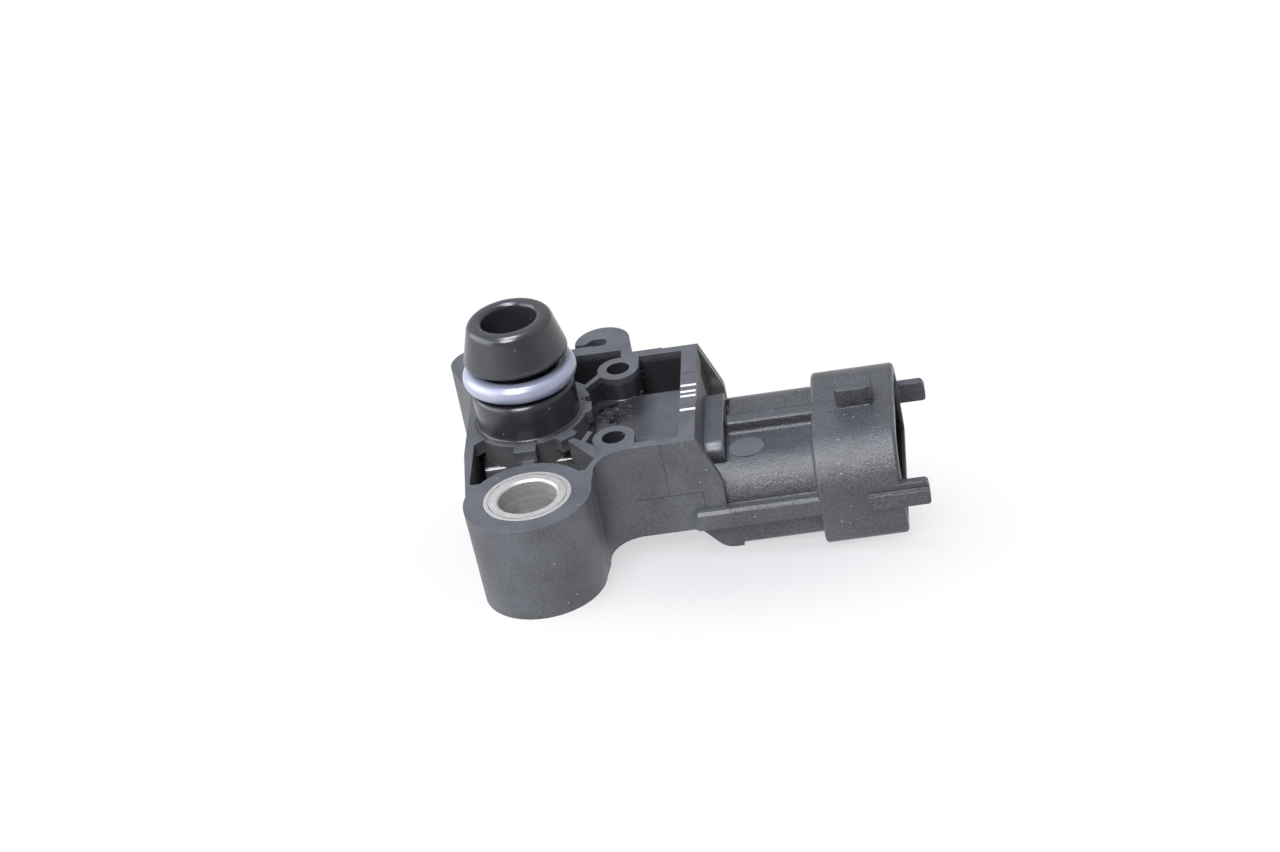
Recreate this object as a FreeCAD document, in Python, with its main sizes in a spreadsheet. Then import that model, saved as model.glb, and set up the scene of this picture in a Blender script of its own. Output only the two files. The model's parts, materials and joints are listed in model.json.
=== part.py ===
import FreeCAD, Part
import os
import math
import Sketcher

# Manifold pressure sensor
# All lengths are millimetres. The origin is the point where the axis of the
# pressure port meets the plane of the flange top. Z runs up the port, X runs
# towards the connector and Y runs from the screw boss to the hook.

doc = FreeCAD.newDocument("pressure_sensor")
sheet = doc.addObject("Spreadsheet::Sheet", "Sizes")

# The table of sizes
# Each row is a name in plain words, a number and what it sizes.
SIZES = [
    ("body_height", 11.7, "flange top down to the underside"),
    ("rim_wall", 1.05, "thickness of the upright walls"),
    ("left_side", 7.1, "port axis to the outside of the left wall"),
    ("near_side", 10.45, "port axis to the outside of the near wall"),
    ("far_side", 10.75, "port axis to the outside of the far wall"),
    ("right_edge", 19.15, "port axis to the top edge of the end wall"),
    ("end_foot", 21.35, "port axis to the foot of the slanting cheeks"),
    ("end_slope_depth", 5.6, "depth at which the slant of the cheeks stops"),
    ("end_wall_top", 1.85, "width of the flat top of the end wall"),
    ("roof_depth", 2.85, "flange top down to the roof of the chamber"),
    ("roof_thick", 1.25, "thickness of the roof"),
    ("roof_half", 6.05, "half of the width of the roof"),
    ("roof_left", 5.4, "port axis to the left end of the roof"),
    ("roof_edge_round", 0.5, "rounding along the two long edges of the roof"),
    ("pocket_depth", 8.9, "flange top down to the floor of the pockets"),
    ("chamber_wall", 1.2, "side walls of the chamber"),
    ("chamber_end", 16.0, "port axis to the connector end of the chamber"),
    ("chamber_corner", 1.0, "corner rounding inside the chamber"),
    ("boss_x", 0.65, "screw boss, along the body"),
    ("boss_y", 17.6, "screw boss, from the port axis"),
    ("boss_radius", 7.2, "screw boss at the flange top"),
    ("boss_foot_radius", 6.9, "screw boss at the underside"),
    ("boss_ring", 6.75, "radius of the boss where the pockets reach it"),
    ("boss_blend", 3.8, "hollow rounding between boss and near wall"),
    ("bushing_radius", 4.93, "outside of the metal bushing"),
    ("bushing_bore", 3.3, "bore radius of the metal bushing"),
    ("bushing_groove", 0.4, "depth of the holding groove round the bushing"),
    ("bushing_groove_half", 1.1, "half of the height of the holding groove"),
    ("bushing_chamfer", 0.22, "chamfer at both ends of the bushing bore"),
    ("lobe_x", 6.8, "left lobe, from the port axis"),
    ("lobe_y", 13.6, "left lobe, from the port axis"),
    ("lobe_radius", 3.2, "radius of the left lobe"),
    ("hook_x", 7.85, "hook, along the body"),
    ("hook_y", 14.3, "hook, from the port axis"),
    ("hook_radius", 3.2, "radius of the hook"),
    ("back_wall_inner", 11.75, "port axis to the inside of the back wall"),
    ("back_wall_outer", 13.4, "port axis to the outside of the back wall"),
    ("slot_wide", 1.6, "width of the round end of the hook slot"),
    ("slot_narrow", 0.62, "width of the mouth of the hook slot"),
    ("post_x", 9.95, "the two small posts, along the body"),
    ("post_y", 7.57, "the two small posts, from the port axis"),
    ("post_radius", 2.4, "outside of the two small posts"),
    ("post_hole", 1.33, "radius of the holes in the posts"),
    ("post_hole_depth", 7.0, "depth of the holes in the posts"),
    ("spigot_radius", 5.86, "port below the ring groove"),
    ("spigot_shoulder", 4.25, "height of the lower side of the ring groove"),
    ("groove_floor", 4.16, "radius at the floor of the ring groove"),
    ("groove_top", 7.95, "height of the upper side of the ring groove"),
    ("nose_radius", 5.92, "largest radius of the nose of the port"),
    ("nose_rim", 0.55, "height of the rim below the cone"),
    ("nose_cone_radius", 4.75, "radius where the cone meets the top"),
    ("port_height", 12.8, "height of the top of the port"),
    ("port_bore", 3.14, "radius of the bore of the port"),
    ("ring_section", 2.3, "thickness of the sealing ring"),
    ("ring_stretch", 0.03, "gap of the ring over the floor of its groove"),
    ("collar_radius", 6.6, "collar round the foot of the port"),
    ("collar_drop", 0.12, "collar below the flange top"),
    ("collar_step", 6.18, "small step on the collar"),
    ("tab_reach", 8.1, "reach of the tab towards the boss"),
    ("tab_width", 2.5, "width of the tab towards the boss"),
    ("web_width", 1.3, "web between collar and boss"),
    ("web_drop", 1.3, "web below the flange top"),
    ("neck_half", 9.9, "half of the width of the connector neck"),
    ("neck_top", 5.45, "depth of the top of the neck"),
    ("neck_foot", 14.95, "depth of the underside of the neck"),
    ("neck_corner", 4.2, "upper corner rounding of the neck"),
    ("neck_end", 31.55, "port axis to the root of the shroud"),
    ("shroud_half", 11.3, "half of the width of the shroud"),
    ("shroud_top", 4.04, "depth of the top of the shroud"),
    ("shroud_foot", 15.65, "depth of the underside of the shroud"),
    ("shroud_corner", 5.4, "upper corner rounding of the shroud"),
    ("shroud_low_corner", 1.0, "lower corner rounding of the shroud"),
    ("shroud_rim_round", 0.45, "rounding of both rims of the shroud"),
    ("shroud_end", 41.0, "port axis to the mouth of the shroud"),
    ("shroud_wall", 1.3, "wall of the shroud"),
    ("plug_floor", 25.0, "port axis to the floor of the plug cavity"),
    ("top_rail_half", 1.05, "half of the width of the rail on the neck"),
    ("side_rail_top", 9.3, "depth of the top of the side rails"),
    ("side_rail_foot", 11.5, "depth of the underside of the side rails"),
    ("side_rail_start", 17.3, "port axis to the start of the side rails"),
    ("bar_end", 21.6, "port axis to the outer side of the bar over the neck root"),
    ("bar_gap", 0.35, "slit between the bar and the neck"),
    ("bar_top", 3.75, "depth of the top of the bar over the neck root"),
    ("bar_half", 6.2, "half of the length of the bar"),
    ("nub_start", 34.5, "latch nub, start"),
    ("nub_length", 4.25, "latch nub, along the connector"),
    ("nub_width", 3.1, "latch nub, across the connector"),
    ("nub_height", 2.3, "latch nub above the shroud"),
    ("guide_top", 8.9, "depth of the top of the guide ribs"),
    ("guide_step", 9.75, "depth of the proud step of the guide ribs"),
    ("guide_foot", 11.55, "depth of the underside of the guide ribs"),
    ("guide_start", 37.0, "guide ribs, start of the proud step"),
    ("guide_end", 44.0, "guide ribs, free end"),
    ("guide_proud", 0.55, "guide ribs, how far they stand out"),
    ("guide_thick", 1.2, "guide ribs, thickness past the mouth"),
    ("cover_recess", 1.5, "depth of the recess for the rear cover"),
    ("cover_ledge", 1.0, "ledge that carries the cover"),
    ("cover_gap", 0.1, "play round the rear cover"),
    ("bead_thick", 0.25, "glue bead under the cover"),
    ("bead_width", 0.7, "width of the glue bead"),
    ("seal_thick", 0.2, "seal bead between cell and roof"),
    ("seal_inset", 0.25, "seal bead behind the wall of the bore"),
    ("cell_half", 4.0, "half of the side of the sensor cell"),
    ("cell_height", 4.0, "height of the sensor cell"),
    ("cell_floor", 1.3, "floor of the sensor cell"),
    ("cell_cavity_half", 2.9, "half of the side of the cell cavity"),
    ("chip_half", 1.5, "half of the side of the chip"),
    ("pedestal_thick", 0.8, "glass pedestal below the chip"),
    ("chip_thick", 0.4, "pressure chip"),
    ("gel_top_gap", 0.6, "top of the gel below the top of the cell"),
    ("lead_width", 0.6, "leads of the sensor cell"),
    ("lead_thick", 0.25, "leads of the sensor cell"),
    ("lead_pitch", 1.2, "spacing of the leads inside the cell"),
    ("wire_thick", 0.12, "bond wires"),
    ("terminal_pitch", 3.6, "spacing of the connector terminals"),
    ("terminal_width", 0.8, "width of the terminals"),
    ("terminal_thick", 0.64, "thickness of the terminals"),
    ("terminal_depth", 9.5, "depth of the middle of the blades"),
    ("terminal_tip", 37.0, "port axis to the tips of the blades"),
]

sheet.set("A1", "name")
sheet.set("B1", "size")
sheet.set("C1", "what it sizes")
for number, (name, value, note) in enumerate(SIZES):
    row = str(number + 2)
    sheet.set("A" + row, name)
    sheet.set("B" + row, str(value))
    sheet.set("C" + row, note)
    sheet.setAlias("B" + row, name)
doc.recompute()


# A size that is known both as a number and as the words of an expression
class Size:
    def __init__(self, words, number):
        self.words = words
        self.number = float(number)

    def join(self, other, sign, number):
        words = other.words if isinstance(other, Size) else repr(float(other))
        return Size("(" + self.words + " " + sign + " " + words + ")", number)

    def __add__(self, other):
        return self.join(other, "+", self.number + plain(other))

    def __sub__(self, other):
        return self.join(other, "-", self.number - plain(other))

    def __mul__(self, other):
        return self.join(other, "*", self.number * plain(other))

    def __truediv__(self, other):
        return self.join(other, "/", self.number / plain(other))

    def __radd__(self, other):
        return fixed(other) + self

    def __rsub__(self, other):
        return fixed(other) - self

    def __rmul__(self, other):
        return fixed(other) * self

    def __neg__(self):
        return fixed(0) - self


def plain(value):
    return value.number if isinstance(value, Size) else float(value)


def fixed(value):
    return value if isinstance(value, Size) else Size(repr(float(value)), value)


def of(name):
    return Size("Sizes." + name, sheet.get(name))


# Helpers for bodies and sketches
def new_body(name):
    body = doc.addObject("PartDesign::Body", name)
    body.Label = name
    body.Placement = FreeCAD.Placement()
    return body


def new_sketch(body, name, plane, offset=0, across=0):
    sketch = body.newObject("Sketcher::SketchObject", name)
    for feature in body.Origin.OriginFeatures:
        if feature.Role == plane:
            sketch.AttachmentSupport = [(feature, "")]
    sketch.MapMode = "FlatFace"
    base = FreeCAD.Vector(plain(across), 0, plain(offset))
    sketch.AttachmentOffset = FreeCAD.Placement(base, FreeCAD.Rotation())
    if isinstance(offset, Size):
        sketch.setExpression("AttachmentOffset.Base.z", offset.words)
    if isinstance(across, Size):
        sketch.setExpression("AttachmentOffset.Base.x", across.words)
    return sketch


def bind(sketch, kind, items, value):
    value = fixed(value)
    index = sketch.addConstraint(Sketcher.Constraint(kind, *items, value.number))
    sketch.setExpression("Constraints[" + str(index) + "]", value.words)


def pin(sketch, geo, pos, point):
    # a coordinate of nought has no sign, so it is held on the axis instead
    for kind, value, axis in (("DistanceX", point[0], -2), ("DistanceY", point[1], -1)):
        if isinstance(value, Size) or abs(plain(value)) > 1e-9:
            bind(sketch, kind, (-1, 1, geo, pos), value)
        else:
            sketch.addConstraint(Sketcher.Constraint("PointOnObject", geo, pos, axis))


def add_outline(sketch, corners):
    # corners are (x, y) or (x, y, rounding), each a Size or a number
    spots = [FreeCAD.Vector(plain(c[0]), plain(c[1]), 0) for c in corners]
    count = len(corners)
    trims = []
    for i in range(count):
        before = (spots[i - 1] - spots[i]).normalize()
        after = (spots[(i + 1) % count] - spots[i]).normalize()
        if len(corners[i]) == 3:
            radius = plain(corners[i][2])
            half = before.getAngle(after) / 2
            reach = radius / math.tan(half)
            middle = (before + after).normalize() * (radius / math.sin(half))
            trims.append((spots[i] + before * reach, spots[i] + after * reach,
                          spots[i] + middle, radius))
        else:
            trims.append((spots[i], spots[i], None, 0))
    lines = []
    for i in range(count):
        start = trims[i][1]
        stop = trims[(i + 1) % count][0]
        lines.append(sketch.addGeometry(Part.LineSegment(start, stop), False))
    for i in range(count):
        came = lines[i - 1]
        goes = lines[i]
        first, last, middle, radius = trims[i]
        if middle is None:
            sketch.addConstraint(Sketcher.Constraint("Coincident", came, 2, goes, 1))
            pin(sketch, goes, 1, corners[i])
            continue
        low = math.atan2(first.y - middle.y, first.x - middle.x)
        high = math.atan2(last.y - middle.y, last.x - middle.x)
        turn = (high - low) % (2 * math.pi)
        forward = turn < math.pi
        circle = Part.Circle(middle, FreeCAD.Vector(0, 0, 1), radius)
        ends = (low, high) if forward else (high, low)
        arc = sketch.addGeometry(Part.ArcOfCircle(circle, *ends), False)
        near = 1 if forward else 2
        sketch.addConstraint(Sketcher.Constraint("Tangent", came, 2, arc, near))
        sketch.addConstraint(Sketcher.Constraint("Tangent", arc, 3 - near, goes, 1))
        bind(sketch, "Radius", (arc,), corners[i][2])
        point = sketch.addGeometry(Part.Point(spots[i]), True)
        pin(sketch, point, 1, corners[i])
        sketch.addConstraint(Sketcher.Constraint("PointOnObject", point, 1, came))
        sketch.addConstraint(Sketcher.Constraint("PointOnObject", point, 1, goes))


def add_circle(sketch, x, y, radius):
    middle = FreeCAD.Vector(plain(x), plain(y), 0)
    circle = Part.Circle(middle, FreeCAD.Vector(0, 0, 1), plain(radius))
    index = sketch.addGeometry(circle, False)
    pin(sketch, index, 3, (x, y))
    bind(sketch, "Radius", (index,), radius)


def box_corners(x_low, x_high, y_low, y_high, rounding=None):
    corners = [(x_low, y_low), (x_high, y_low), (x_high, y_high), (x_low, y_high)]
    if rounding is None:
        return corners
    return [(x, y, rounding) for x, y in corners]


def finish(body, kind, name, sketch, length, reverse):
    feature = body.newObject("PartDesign::" + kind, name)
    feature.Profile = sketch
    feature.Length = plain(length)
    if isinstance(length, Size):
        feature.setExpression("Length", length.words)
    feature.Reversed = reverse
    sketch.Visibility = False
    doc.recompute()
    return feature


def shapes(sketch, outlines):
    for outline in outlines:
        if len(outline) == 3 and not isinstance(outline[0], tuple):
            add_circle(sketch, *outline)
        else:
            add_outline(sketch, outline)


def pad(body, name, plane, offset, length, outlines, reverse=False):
    sketch = new_sketch(body, name + "_sketch", plane, offset)
    shapes(sketch, outlines)
    return finish(body, "Pad", name, sketch, length, reverse)


def pocket(body, name, plane, offset, length, outlines, reverse=False):
    sketch = new_sketch(body, name + "_sketch", plane, offset)
    shapes(sketch, outlines)
    return finish(body, "Pocket", name, sketch, length, reverse)


def turned(body, kind, name, outline, across=0, offset=0):
    # the profile is drawn beside the upright axis and turned once round it
    sketch = new_sketch(body, name + "_sketch", "XZ_Plane", offset, across)
    add_outline(sketch, outline)
    feature = body.newObject("PartDesign::" + kind, name)
    feature.Profile = sketch
    feature.ReferenceAxis = (sketch, ["V_Axis"])
    feature.Angle = 360
    sketch.Visibility = False
    doc.recompute()
    return feature


def edge_cutter(u, v, side_u, side_v, rounding):
    # an angle piece whose inner corner carries the rounding: taken away, it
    # leaves a rounded edge at the corner (u, v)
    far_u = u + side_u * 0.3
    far_v = v + side_v * 0.3
    back_u = u - side_u * (rounding + 0.2)
    back_v = v - side_v * (rounding + 0.2)
    return [(back_u, far_v), (far_u, far_v), (far_u, back_v),
            (u, back_v), (u, v, rounding), (back_u, v)]


# Names used often
height = of("body_height")
wall = of("rim_wall")
roof = of("roof_depth")
deep = of("pocket_depth")
right_inner = of("right_edge") - of("end_wall_top")
near_inner = of("near_side") - wall
far_inner = of("far_side") - wall
boss_x = of("boss_x")
boss_y = of("boss_y")
half_roof = of("roof_half")
ceiling = roof + of("roof_thick")

# Housing
# One moulding: flange block with its pockets, screw boss, hook, posts, port,
# neck and connector shroud.
housing = new_body("housing")

block = [
    (boss_x - of("boss_foot_radius"), -boss_y),
    (boss_x + of("boss_foot_radius"), -boss_y),
    (boss_x + of("boss_radius"), -of("near_side") - 5.0),
    (boss_x + of("boss_radius"), -of("near_side"), of("boss_blend")),
    (of("right_edge"), -of("near_side")),
    (of("right_edge"), of("far_side")),
    (15.0, of("far_side")),
    (15.0, of("far_side") + 0.2),
    (of("hook_x") + of("hook_radius"), of("far_side") + 0.2, 0.6),
    (of("hook_x") + of("hook_radius"), of("hook_y")),
    (of("hook_x") - of("hook_radius"), of("hook_y")),
    (of("hook_x") - of("hook_radius"), of("back_wall_outer")),
    (-of("lobe_x"), of("back_wall_outer")),
    (-of("lobe_x") - 2.96, of("lobe_y") - 1.23),
    (-of("left_side"), 6.0, 3.0),
    (-of("left_side"), -7.0, 3.0),
]
pad(housing, "flange_block", "XY_Plane", 0, height, [block], reverse=True)

# Screw boss with its draft
turned(housing, "Revolution", "screw_boss",
       [(0, 0), (of("boss_radius"), 0), (of("boss_foot_radius"), -height), (0, -height)],
       boss_x, boss_y)

# Inside of the flange: a shallow floor at the level of the chamber roof
inside = [
    (-of("left_side") + wall, -13.7, 0.4),
    (7.0, -13.7, 0.4),
    (8.0, -11.3, 0.6),
    (8.9, -near_inner, 0.6),
    (right_inner, -near_inner, 0.3),
    (right_inner, far_inner, 0.3),
    (10.2, far_inner, 0.2),
    (10.2, of("back_wall_inner"), 0.4),
    (-of("left_side") + wall, of("back_wall_inner"), 0.4),
]
pocket(housing, "roof_level", "XY_Plane", 0, roof, [inside])

# Deep pockets round the chamber
left_inner = -of("left_side") + wall
near_left = [
    (left_inner, -13.7, 0.4),
    (boss_x - of("web_width"), -13.7),
    (boss_x - of("web_width"), -half_roof),
    (-of("roof_left"), -half_roof, 0.3),
    (-of("roof_left"), 4.6),
    (left_inner, 4.6),
]
near_right = [
    (boss_x + 0.1, -13.7),
    (7.0, -13.7, 0.4),
    (7.95, -11.4, 0.3),
    (4.65, -7.2),
    (3.85, -half_roof),
    (boss_x + 0.1, -half_roof),
]
back_pocket = [
    (left_inner, half_roof, 0.4),
    (10.2, half_roof),
    (10.2, of("back_wall_inner"), 0.4),
    (left_inner, of("back_wall_inner"), 0.4),
]
far_pocket = box_corners(12.35, right_inner, half_roof, far_inner, 0.3)
near_pocket = box_corners(12.35, right_inner, -near_inner, -half_roof, 0.3)
pocket(housing, "pockets", "XY_Plane", 0, deep,
       [near_left, near_right, back_pocket, far_pocket, near_pocket])

# Rounded long edges of the chamber roof
pocket(housing, "roof_edges", "YZ_Plane", right_inner, right_inner + of("roof_left"),
       [edge_cutter(-half_roof, -roof, -1, 1, of("roof_edge_round")),
        edge_cutter(half_roof, -roof, 1, 1, of("roof_edge_round"))])

# Ring of the boss where the pockets reach it
pad(housing, "boss_ring_block", "XY_Plane", 0, deep + 0.5,
    [(boss_x, -boss_y, of("boss_ring"))], reverse=True)

# The two lobes of the back wall and the slot of the hook
pad(housing, "back_lobes", "XY_Plane", 0, height,
    [(-of("lobe_x"), of("lobe_y"), of("lobe_radius")),
     (of("hook_x"), of("hook_y"), of("hook_radius"))], reverse=True)
pocket(housing, "back_lobe_clear", "XY_Plane", 0, deep,
       [[(left_inner, 8.0), (10.2, 8.0), (10.2, of("back_wall_inner"), 0.4),
         (left_inner, of("back_wall_inner"), 0.4)]])
slot_end = of("hook_x") + 0.55
slot_low = of("hook_y") - 0.9
pocket(housing, "hook_slot", "XY_Plane", 0, height,
       [[(of("hook_x") - of("hook_radius") - 0.5, slot_low + 0.12),
         (of("hook_x") - 1.2, slot_low + 0.12, 0.2),
         (of("hook_x") - 0.9, slot_low, 0.2),
         (slot_end, slot_low, of("slot_wide") * 0.4),
         (slot_end, slot_low + of("slot_wide"), of("slot_wide") * 0.4),
         (of("hook_x") - 1.1, slot_low + of("slot_wide"), 0.4),
         (of("hook_x") - 1.9, slot_low + 0.12 + of("slot_narrow"), 0.3),
         (of("hook_x") - of("hook_radius") - 0.5, slot_low + 0.12 + of("slot_narrow"))]])

# Steep end wall between two slanting cheeks
neck_half = of("neck_half")
steep = [
    (right_inner, 0),
    (of("right_edge"), 0),
    (of("right_edge") + 0.35, -of("bar_top")),
    (of("right_edge") + 0.6, -of("neck_top") - 1.0),
    (of("right_edge") + 0.6, -height),
    (right_inner, -height),
]
pad(housing, "end_wall", "XZ_Plane", -of("far_side"), of("far_side") + of("near_side"), [steep])
cheek = [
    (right_inner, 0),
    (of("right_edge"), 0),
    (of("end_foot"), -of("end_slope_depth"), 3.0),
    (of("end_foot"), -height),
    (right_inner, -height),
]
pad(housing, "cheek_near", "XZ_Plane", neck_half - 0.2, of("near_side") - neck_half + 0.2, [cheek])
pad(housing, "cheek_far", "XZ_Plane", -of("far_side"), of("far_side") - neck_half + 0.2, [cheek])

# Small posts with their holes, and the ribs that tie them in
post_x = of("post_x")
post_y = of("post_y")
pad(housing, "posts", "XY_Plane", 0, deep,
    [[(post_x, -near_inner - 0.3), (post_x + of("post_radius"), -near_inner - 0.3),
      (post_x + of("post_radius"), -post_y), (post_x, -post_y)],
     [(post_x + 0.25, post_y), (post_x + of("post_radius"), post_y),
      (post_x + of("post_radius"), far_inner + 0.3), (post_x + 0.25, far_inner + 0.3)]],
    reverse=True)
pad(housing, "post_rounds", "XY_Plane", 0, deep,
    [(post_x, -post_y, of("post_radius")), (post_x, post_y, of("post_radius"))], reverse=True)

# Thin ribs from the collar: a slanting one to the far post, a short bar and a
# slanting one beside the near post
pad(housing, "tie_ribs", "XY_Plane", -0.05, deep - 0.05,
    [[(4.3, 5.1), (4.3, 3.6), (5.75, 3.6), (6.5, 4.4), (8.5, 6.8), (8.1, 7.65),
      (6.2, 4.95), (5.1, 6.0)]], reverse=True)
pad(housing, "low_ribs", "XY_Plane", -0.2, roof + 0.5,
    [[(4.7, -6.6), (5.35, -6.2), (7.1, -7.85), (8.85, -9.6), (8.9, -10.2), (8.0, -11.3)],
     [(6.95, -5.1), (7.45, -5.55), (6.65, -7.75), (6.1, -7.25)]], reverse=True)

# Collar with its tabs round the foot of the port
tab_half = of("tab_width") / 2
pad(housing, "collar", "XY_Plane", -of("collar_drop"), ceiling - of("collar_drop"),
    [(0, 0, of("collar_radius"))], reverse=True)
pad(housing, "collar_step_ring", "XY_Plane", 0, 0.5, [(0, 0, of("collar_step"))], reverse=True)
pad(housing, "tabs", "XY_Plane", 0, 1.6,
    [[(-0.15 - tab_half, -of("tab_reach")), (-0.15 + tab_half, -of("tab_reach")),
      (-0.15 + tab_half, -5.0), (-0.15 - tab_half, -5.0)],
     [(3.2, -4.6), (3.2, -5.9), (3.95, -6.85), (5.5, -5.8), (5.7, -5.25), (4.8, -4.2)],
     [(5.0, -1.25), (6.5, -1.25), (7.2, -0.95), (7.15, 0.9), (6.45, 1.2), (5.0, 1.2)],
     [(-4.2, -3.6), (-6.4, -5.4), (left_inner - 0.2, -3.2), (left_inner - 0.2, -1.2), (-5.4, -1.2)],
     [(5.2, 1.6), (6.9, 2.4, 0.2), (6.3, 4.0, 0.2), (4.6, 3.2)]], reverse=True)
pad(housing, "boss_web", "XY_Plane", -of("web_drop"), deep - of("web_drop"),
    [box_corners(boss_x - of("web_width"), boss_x + 0.1, -13.4, -5.6)], reverse=True)

# Pressure port with the groove for the sealing ring
port = [
    (0, -ceiling),
    (of("spigot_radius"), -ceiling),
    (of("spigot_radius"), of("spigot_shoulder") - 0.35),
    (of("spigot_radius") - 0.26, of("spigot_shoulder")),
    (of("groove_floor"), of("spigot_shoulder")),
    (of("groove_floor"), of("groove_top")),
    (of("nose_radius") - 0.25, of("groove_top")),
    (of("nose_radius"), of("groove_top") + 0.2),
    (of("nose_radius"), of("groove_top") + of("nose_rim"), 0.4),
    (of("nose_cone_radius"), of("port_height"), 0.9),
    (0, of("port_height")),
]
turned(housing, "Revolution", "port", port)
turned(housing, "Groove", "port_lip",
       [(0, of("port_height") + 0.5), (of("port_bore") + 0.75, of("port_height") + 0.5),
        (of("port_bore") + 0.75, of("port_height")), (of("port_bore"), of("port_height"), 0.5),
        (of("port_bore"), of("port_height") - 1.2), (0, of("port_height") - 1.2)])
pocket(housing, "port_bore_cut", "XY_Plane", of("port_height"),
       of("port_height") + ceiling + 0.5, [(0, 0, of("port_bore"))])

# Neck of the connector
neck = [
    (-neck_half, -of("neck_foot"), 1.0),
    (neck_half, -of("neck_foot"), 1.0),
    (neck_half, -of("neck_top"), of("neck_corner")),
    (-neck_half, -of("neck_top"), of("neck_corner")),
]
pad(housing, "neck", "YZ_Plane", of("end_foot") - 0.3,
    of("neck_end") - of("end_foot") + 0.5, [neck])
neck_root = [
    (-neck_half, -height),
    (neck_half, -height),
    (neck_half, -of("neck_top"), of("neck_corner")),
    (-neck_half, -of("neck_top"), of("neck_corner")),
]
pad(housing, "neck_root", "YZ_Plane", of("right_edge"),
    of("end_foot") - of("right_edge"), [neck_root])
pad(housing, "neck_underside", "XZ_Plane", -neck_half, neck_half * 2,
    [[(of("end_foot") - 3.8, -height + 0.5), (of("end_foot") + 1.0, -height + 0.5),
      (of("end_foot") + 1.0, -of("neck_foot")), (of("end_foot") - 1.0, -of("neck_foot"), 2.4),
      (of("end_foot") - 3.8, -height)]])

# Shroud with its mouth towards plus X
shroud_half = of("shroud_half")
shroud = [
    (-shroud_half, -of("shroud_foot"), of("shroud_low_corner")),
    (shroud_half, -of("shroud_foot"), of("shroud_low_corner")),
    (shroud_half, -of("shroud_top"), of("shroud_corner")),
    (-shroud_half, -of("shroud_top"), of("shroud_corner")),
]
shroud_pad = pad(housing, "shroud", "YZ_Plane", of("neck_end"),
                 of("shroud_end") - of("neck_end"), [shroud])
rims = []
for number, line in enumerate(shroud_pad.Shape.Edges):
    box = line.BoundBox
    wide = max(abs(box.YMin), abs(box.YMax)) > plain(shroud_half) - plain(of("shroud_corner")) - 0.1
    tall = box.ZMax > -plain(of("shroud_top")) - 0.1 or box.ZMin < -plain(of("shroud_foot")) + 0.1
    for place in (plain(of("neck_end")), plain(of("shroud_end"))):
        if abs(box.XMin - place) < 0.01 and abs(box.XMax - place) < 0.01 and (wide or tall):
            if max(abs(box.YMin), abs(box.YMax)) > plain(neck_half) + 0.1 or tall:
                rims.append("Edge" + str(number + 1))
rounded = housing.newObject("PartDesign::Fillet", "shroud_rims")
rounded.Base = (shroud_pad, rims)
rounded.Radius = plain(of("shroud_rim_round"))
rounded.setExpression("Radius", of("shroud_rim_round").words)
doc.recompute()
print("rounded rims", len(rims))

# Rails, bar and latch nub
rail_near = -of("top_rail_half") - 0.2
rail_far = of("top_rail_half") - 0.2
rail_start = of("bar_end") + of("bar_gap")
pad(housing, "top_rail", "YZ_Plane", rail_start, of("neck_end") - rail_start + 0.5,
    [[(rail_near - 0.6, -of("neck_top") - 0.3), (rail_far + 0.6, -of("neck_top") - 0.3),
      (rail_far + 0.6, -of("neck_top")), (rail_far, -of("neck_top"), 0.4),
      (rail_far, -of("shroud_top"), 0.3), (rail_near, -of("shroud_top"), 0.3),
      (rail_near, -of("neck_top"), 0.4), (rail_near - 0.6, -of("neck_top"))]])
for side, word in ((-1, "near"), (1, "far")):
    inner = (neck_half - 1.2) * side
    outer = shroud_half * side
    pad(housing, "side_rail_" + word, "YZ_Plane", of("side_rail_start") + 0.6,
        of("neck_end") - of("side_rail_start") - 0.1,
        [[(inner, -of("side_rail_foot")), (outer, -of("side_rail_foot")),
          (outer, -of("side_rail_top") - 0.35),
          (outer - side * 0.35, -of("side_rail_top")), (inner, -of("side_rail_top"))]])
    pad(housing, "side_rail_tip_" + word, "XY_Plane", -of("side_rail_foot"),
        of("side_rail_foot") - of("side_rail_top") - 0.35,
        [[(of("side_rail_start"), inner), (of("side_rail_start") + 0.9, inner),
          (of("side_rail_start") + 0.9, outer), (of("side_rail_start") + 0.6, outer),
          (of("side_rail_start"), outer - side * 0.6)]])
bar_half = of("bar_half")
bar_low = of("neck_top") + 1.2
pocket(housing, "bar_clearance", "XY_Plane", -of("neck_top") + 0.5, bar_low - of("neck_top") + 0.5,
       [box_corners(of("right_edge") + 0.3, rail_start, -bar_half - 0.7, bar_half + 0.7, 0.4)])
pad(housing, "neck_bar", "YZ_Plane", of("right_edge") - 0.2,
    of("bar_end") - of("right_edge") + 0.2,
    [[(-bar_half, -bar_low - 0.3), (bar_half, -bar_low - 0.3),
      (bar_half, -of("bar_top"), 1.5), (-bar_half, -of("bar_top"), 1.5)]])
pad(housing, "latch_nub", "XY_Plane", -of("shroud_top") + of("nub_height"),
    of("nub_height") + 0.6,
    [box_corners(of("nub_start"), of("nub_start") + of("nub_length"),
                 0.2 - of("nub_width") / 2, 0.2 + of("nub_width") / 2, 0.7)], reverse=True)

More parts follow.
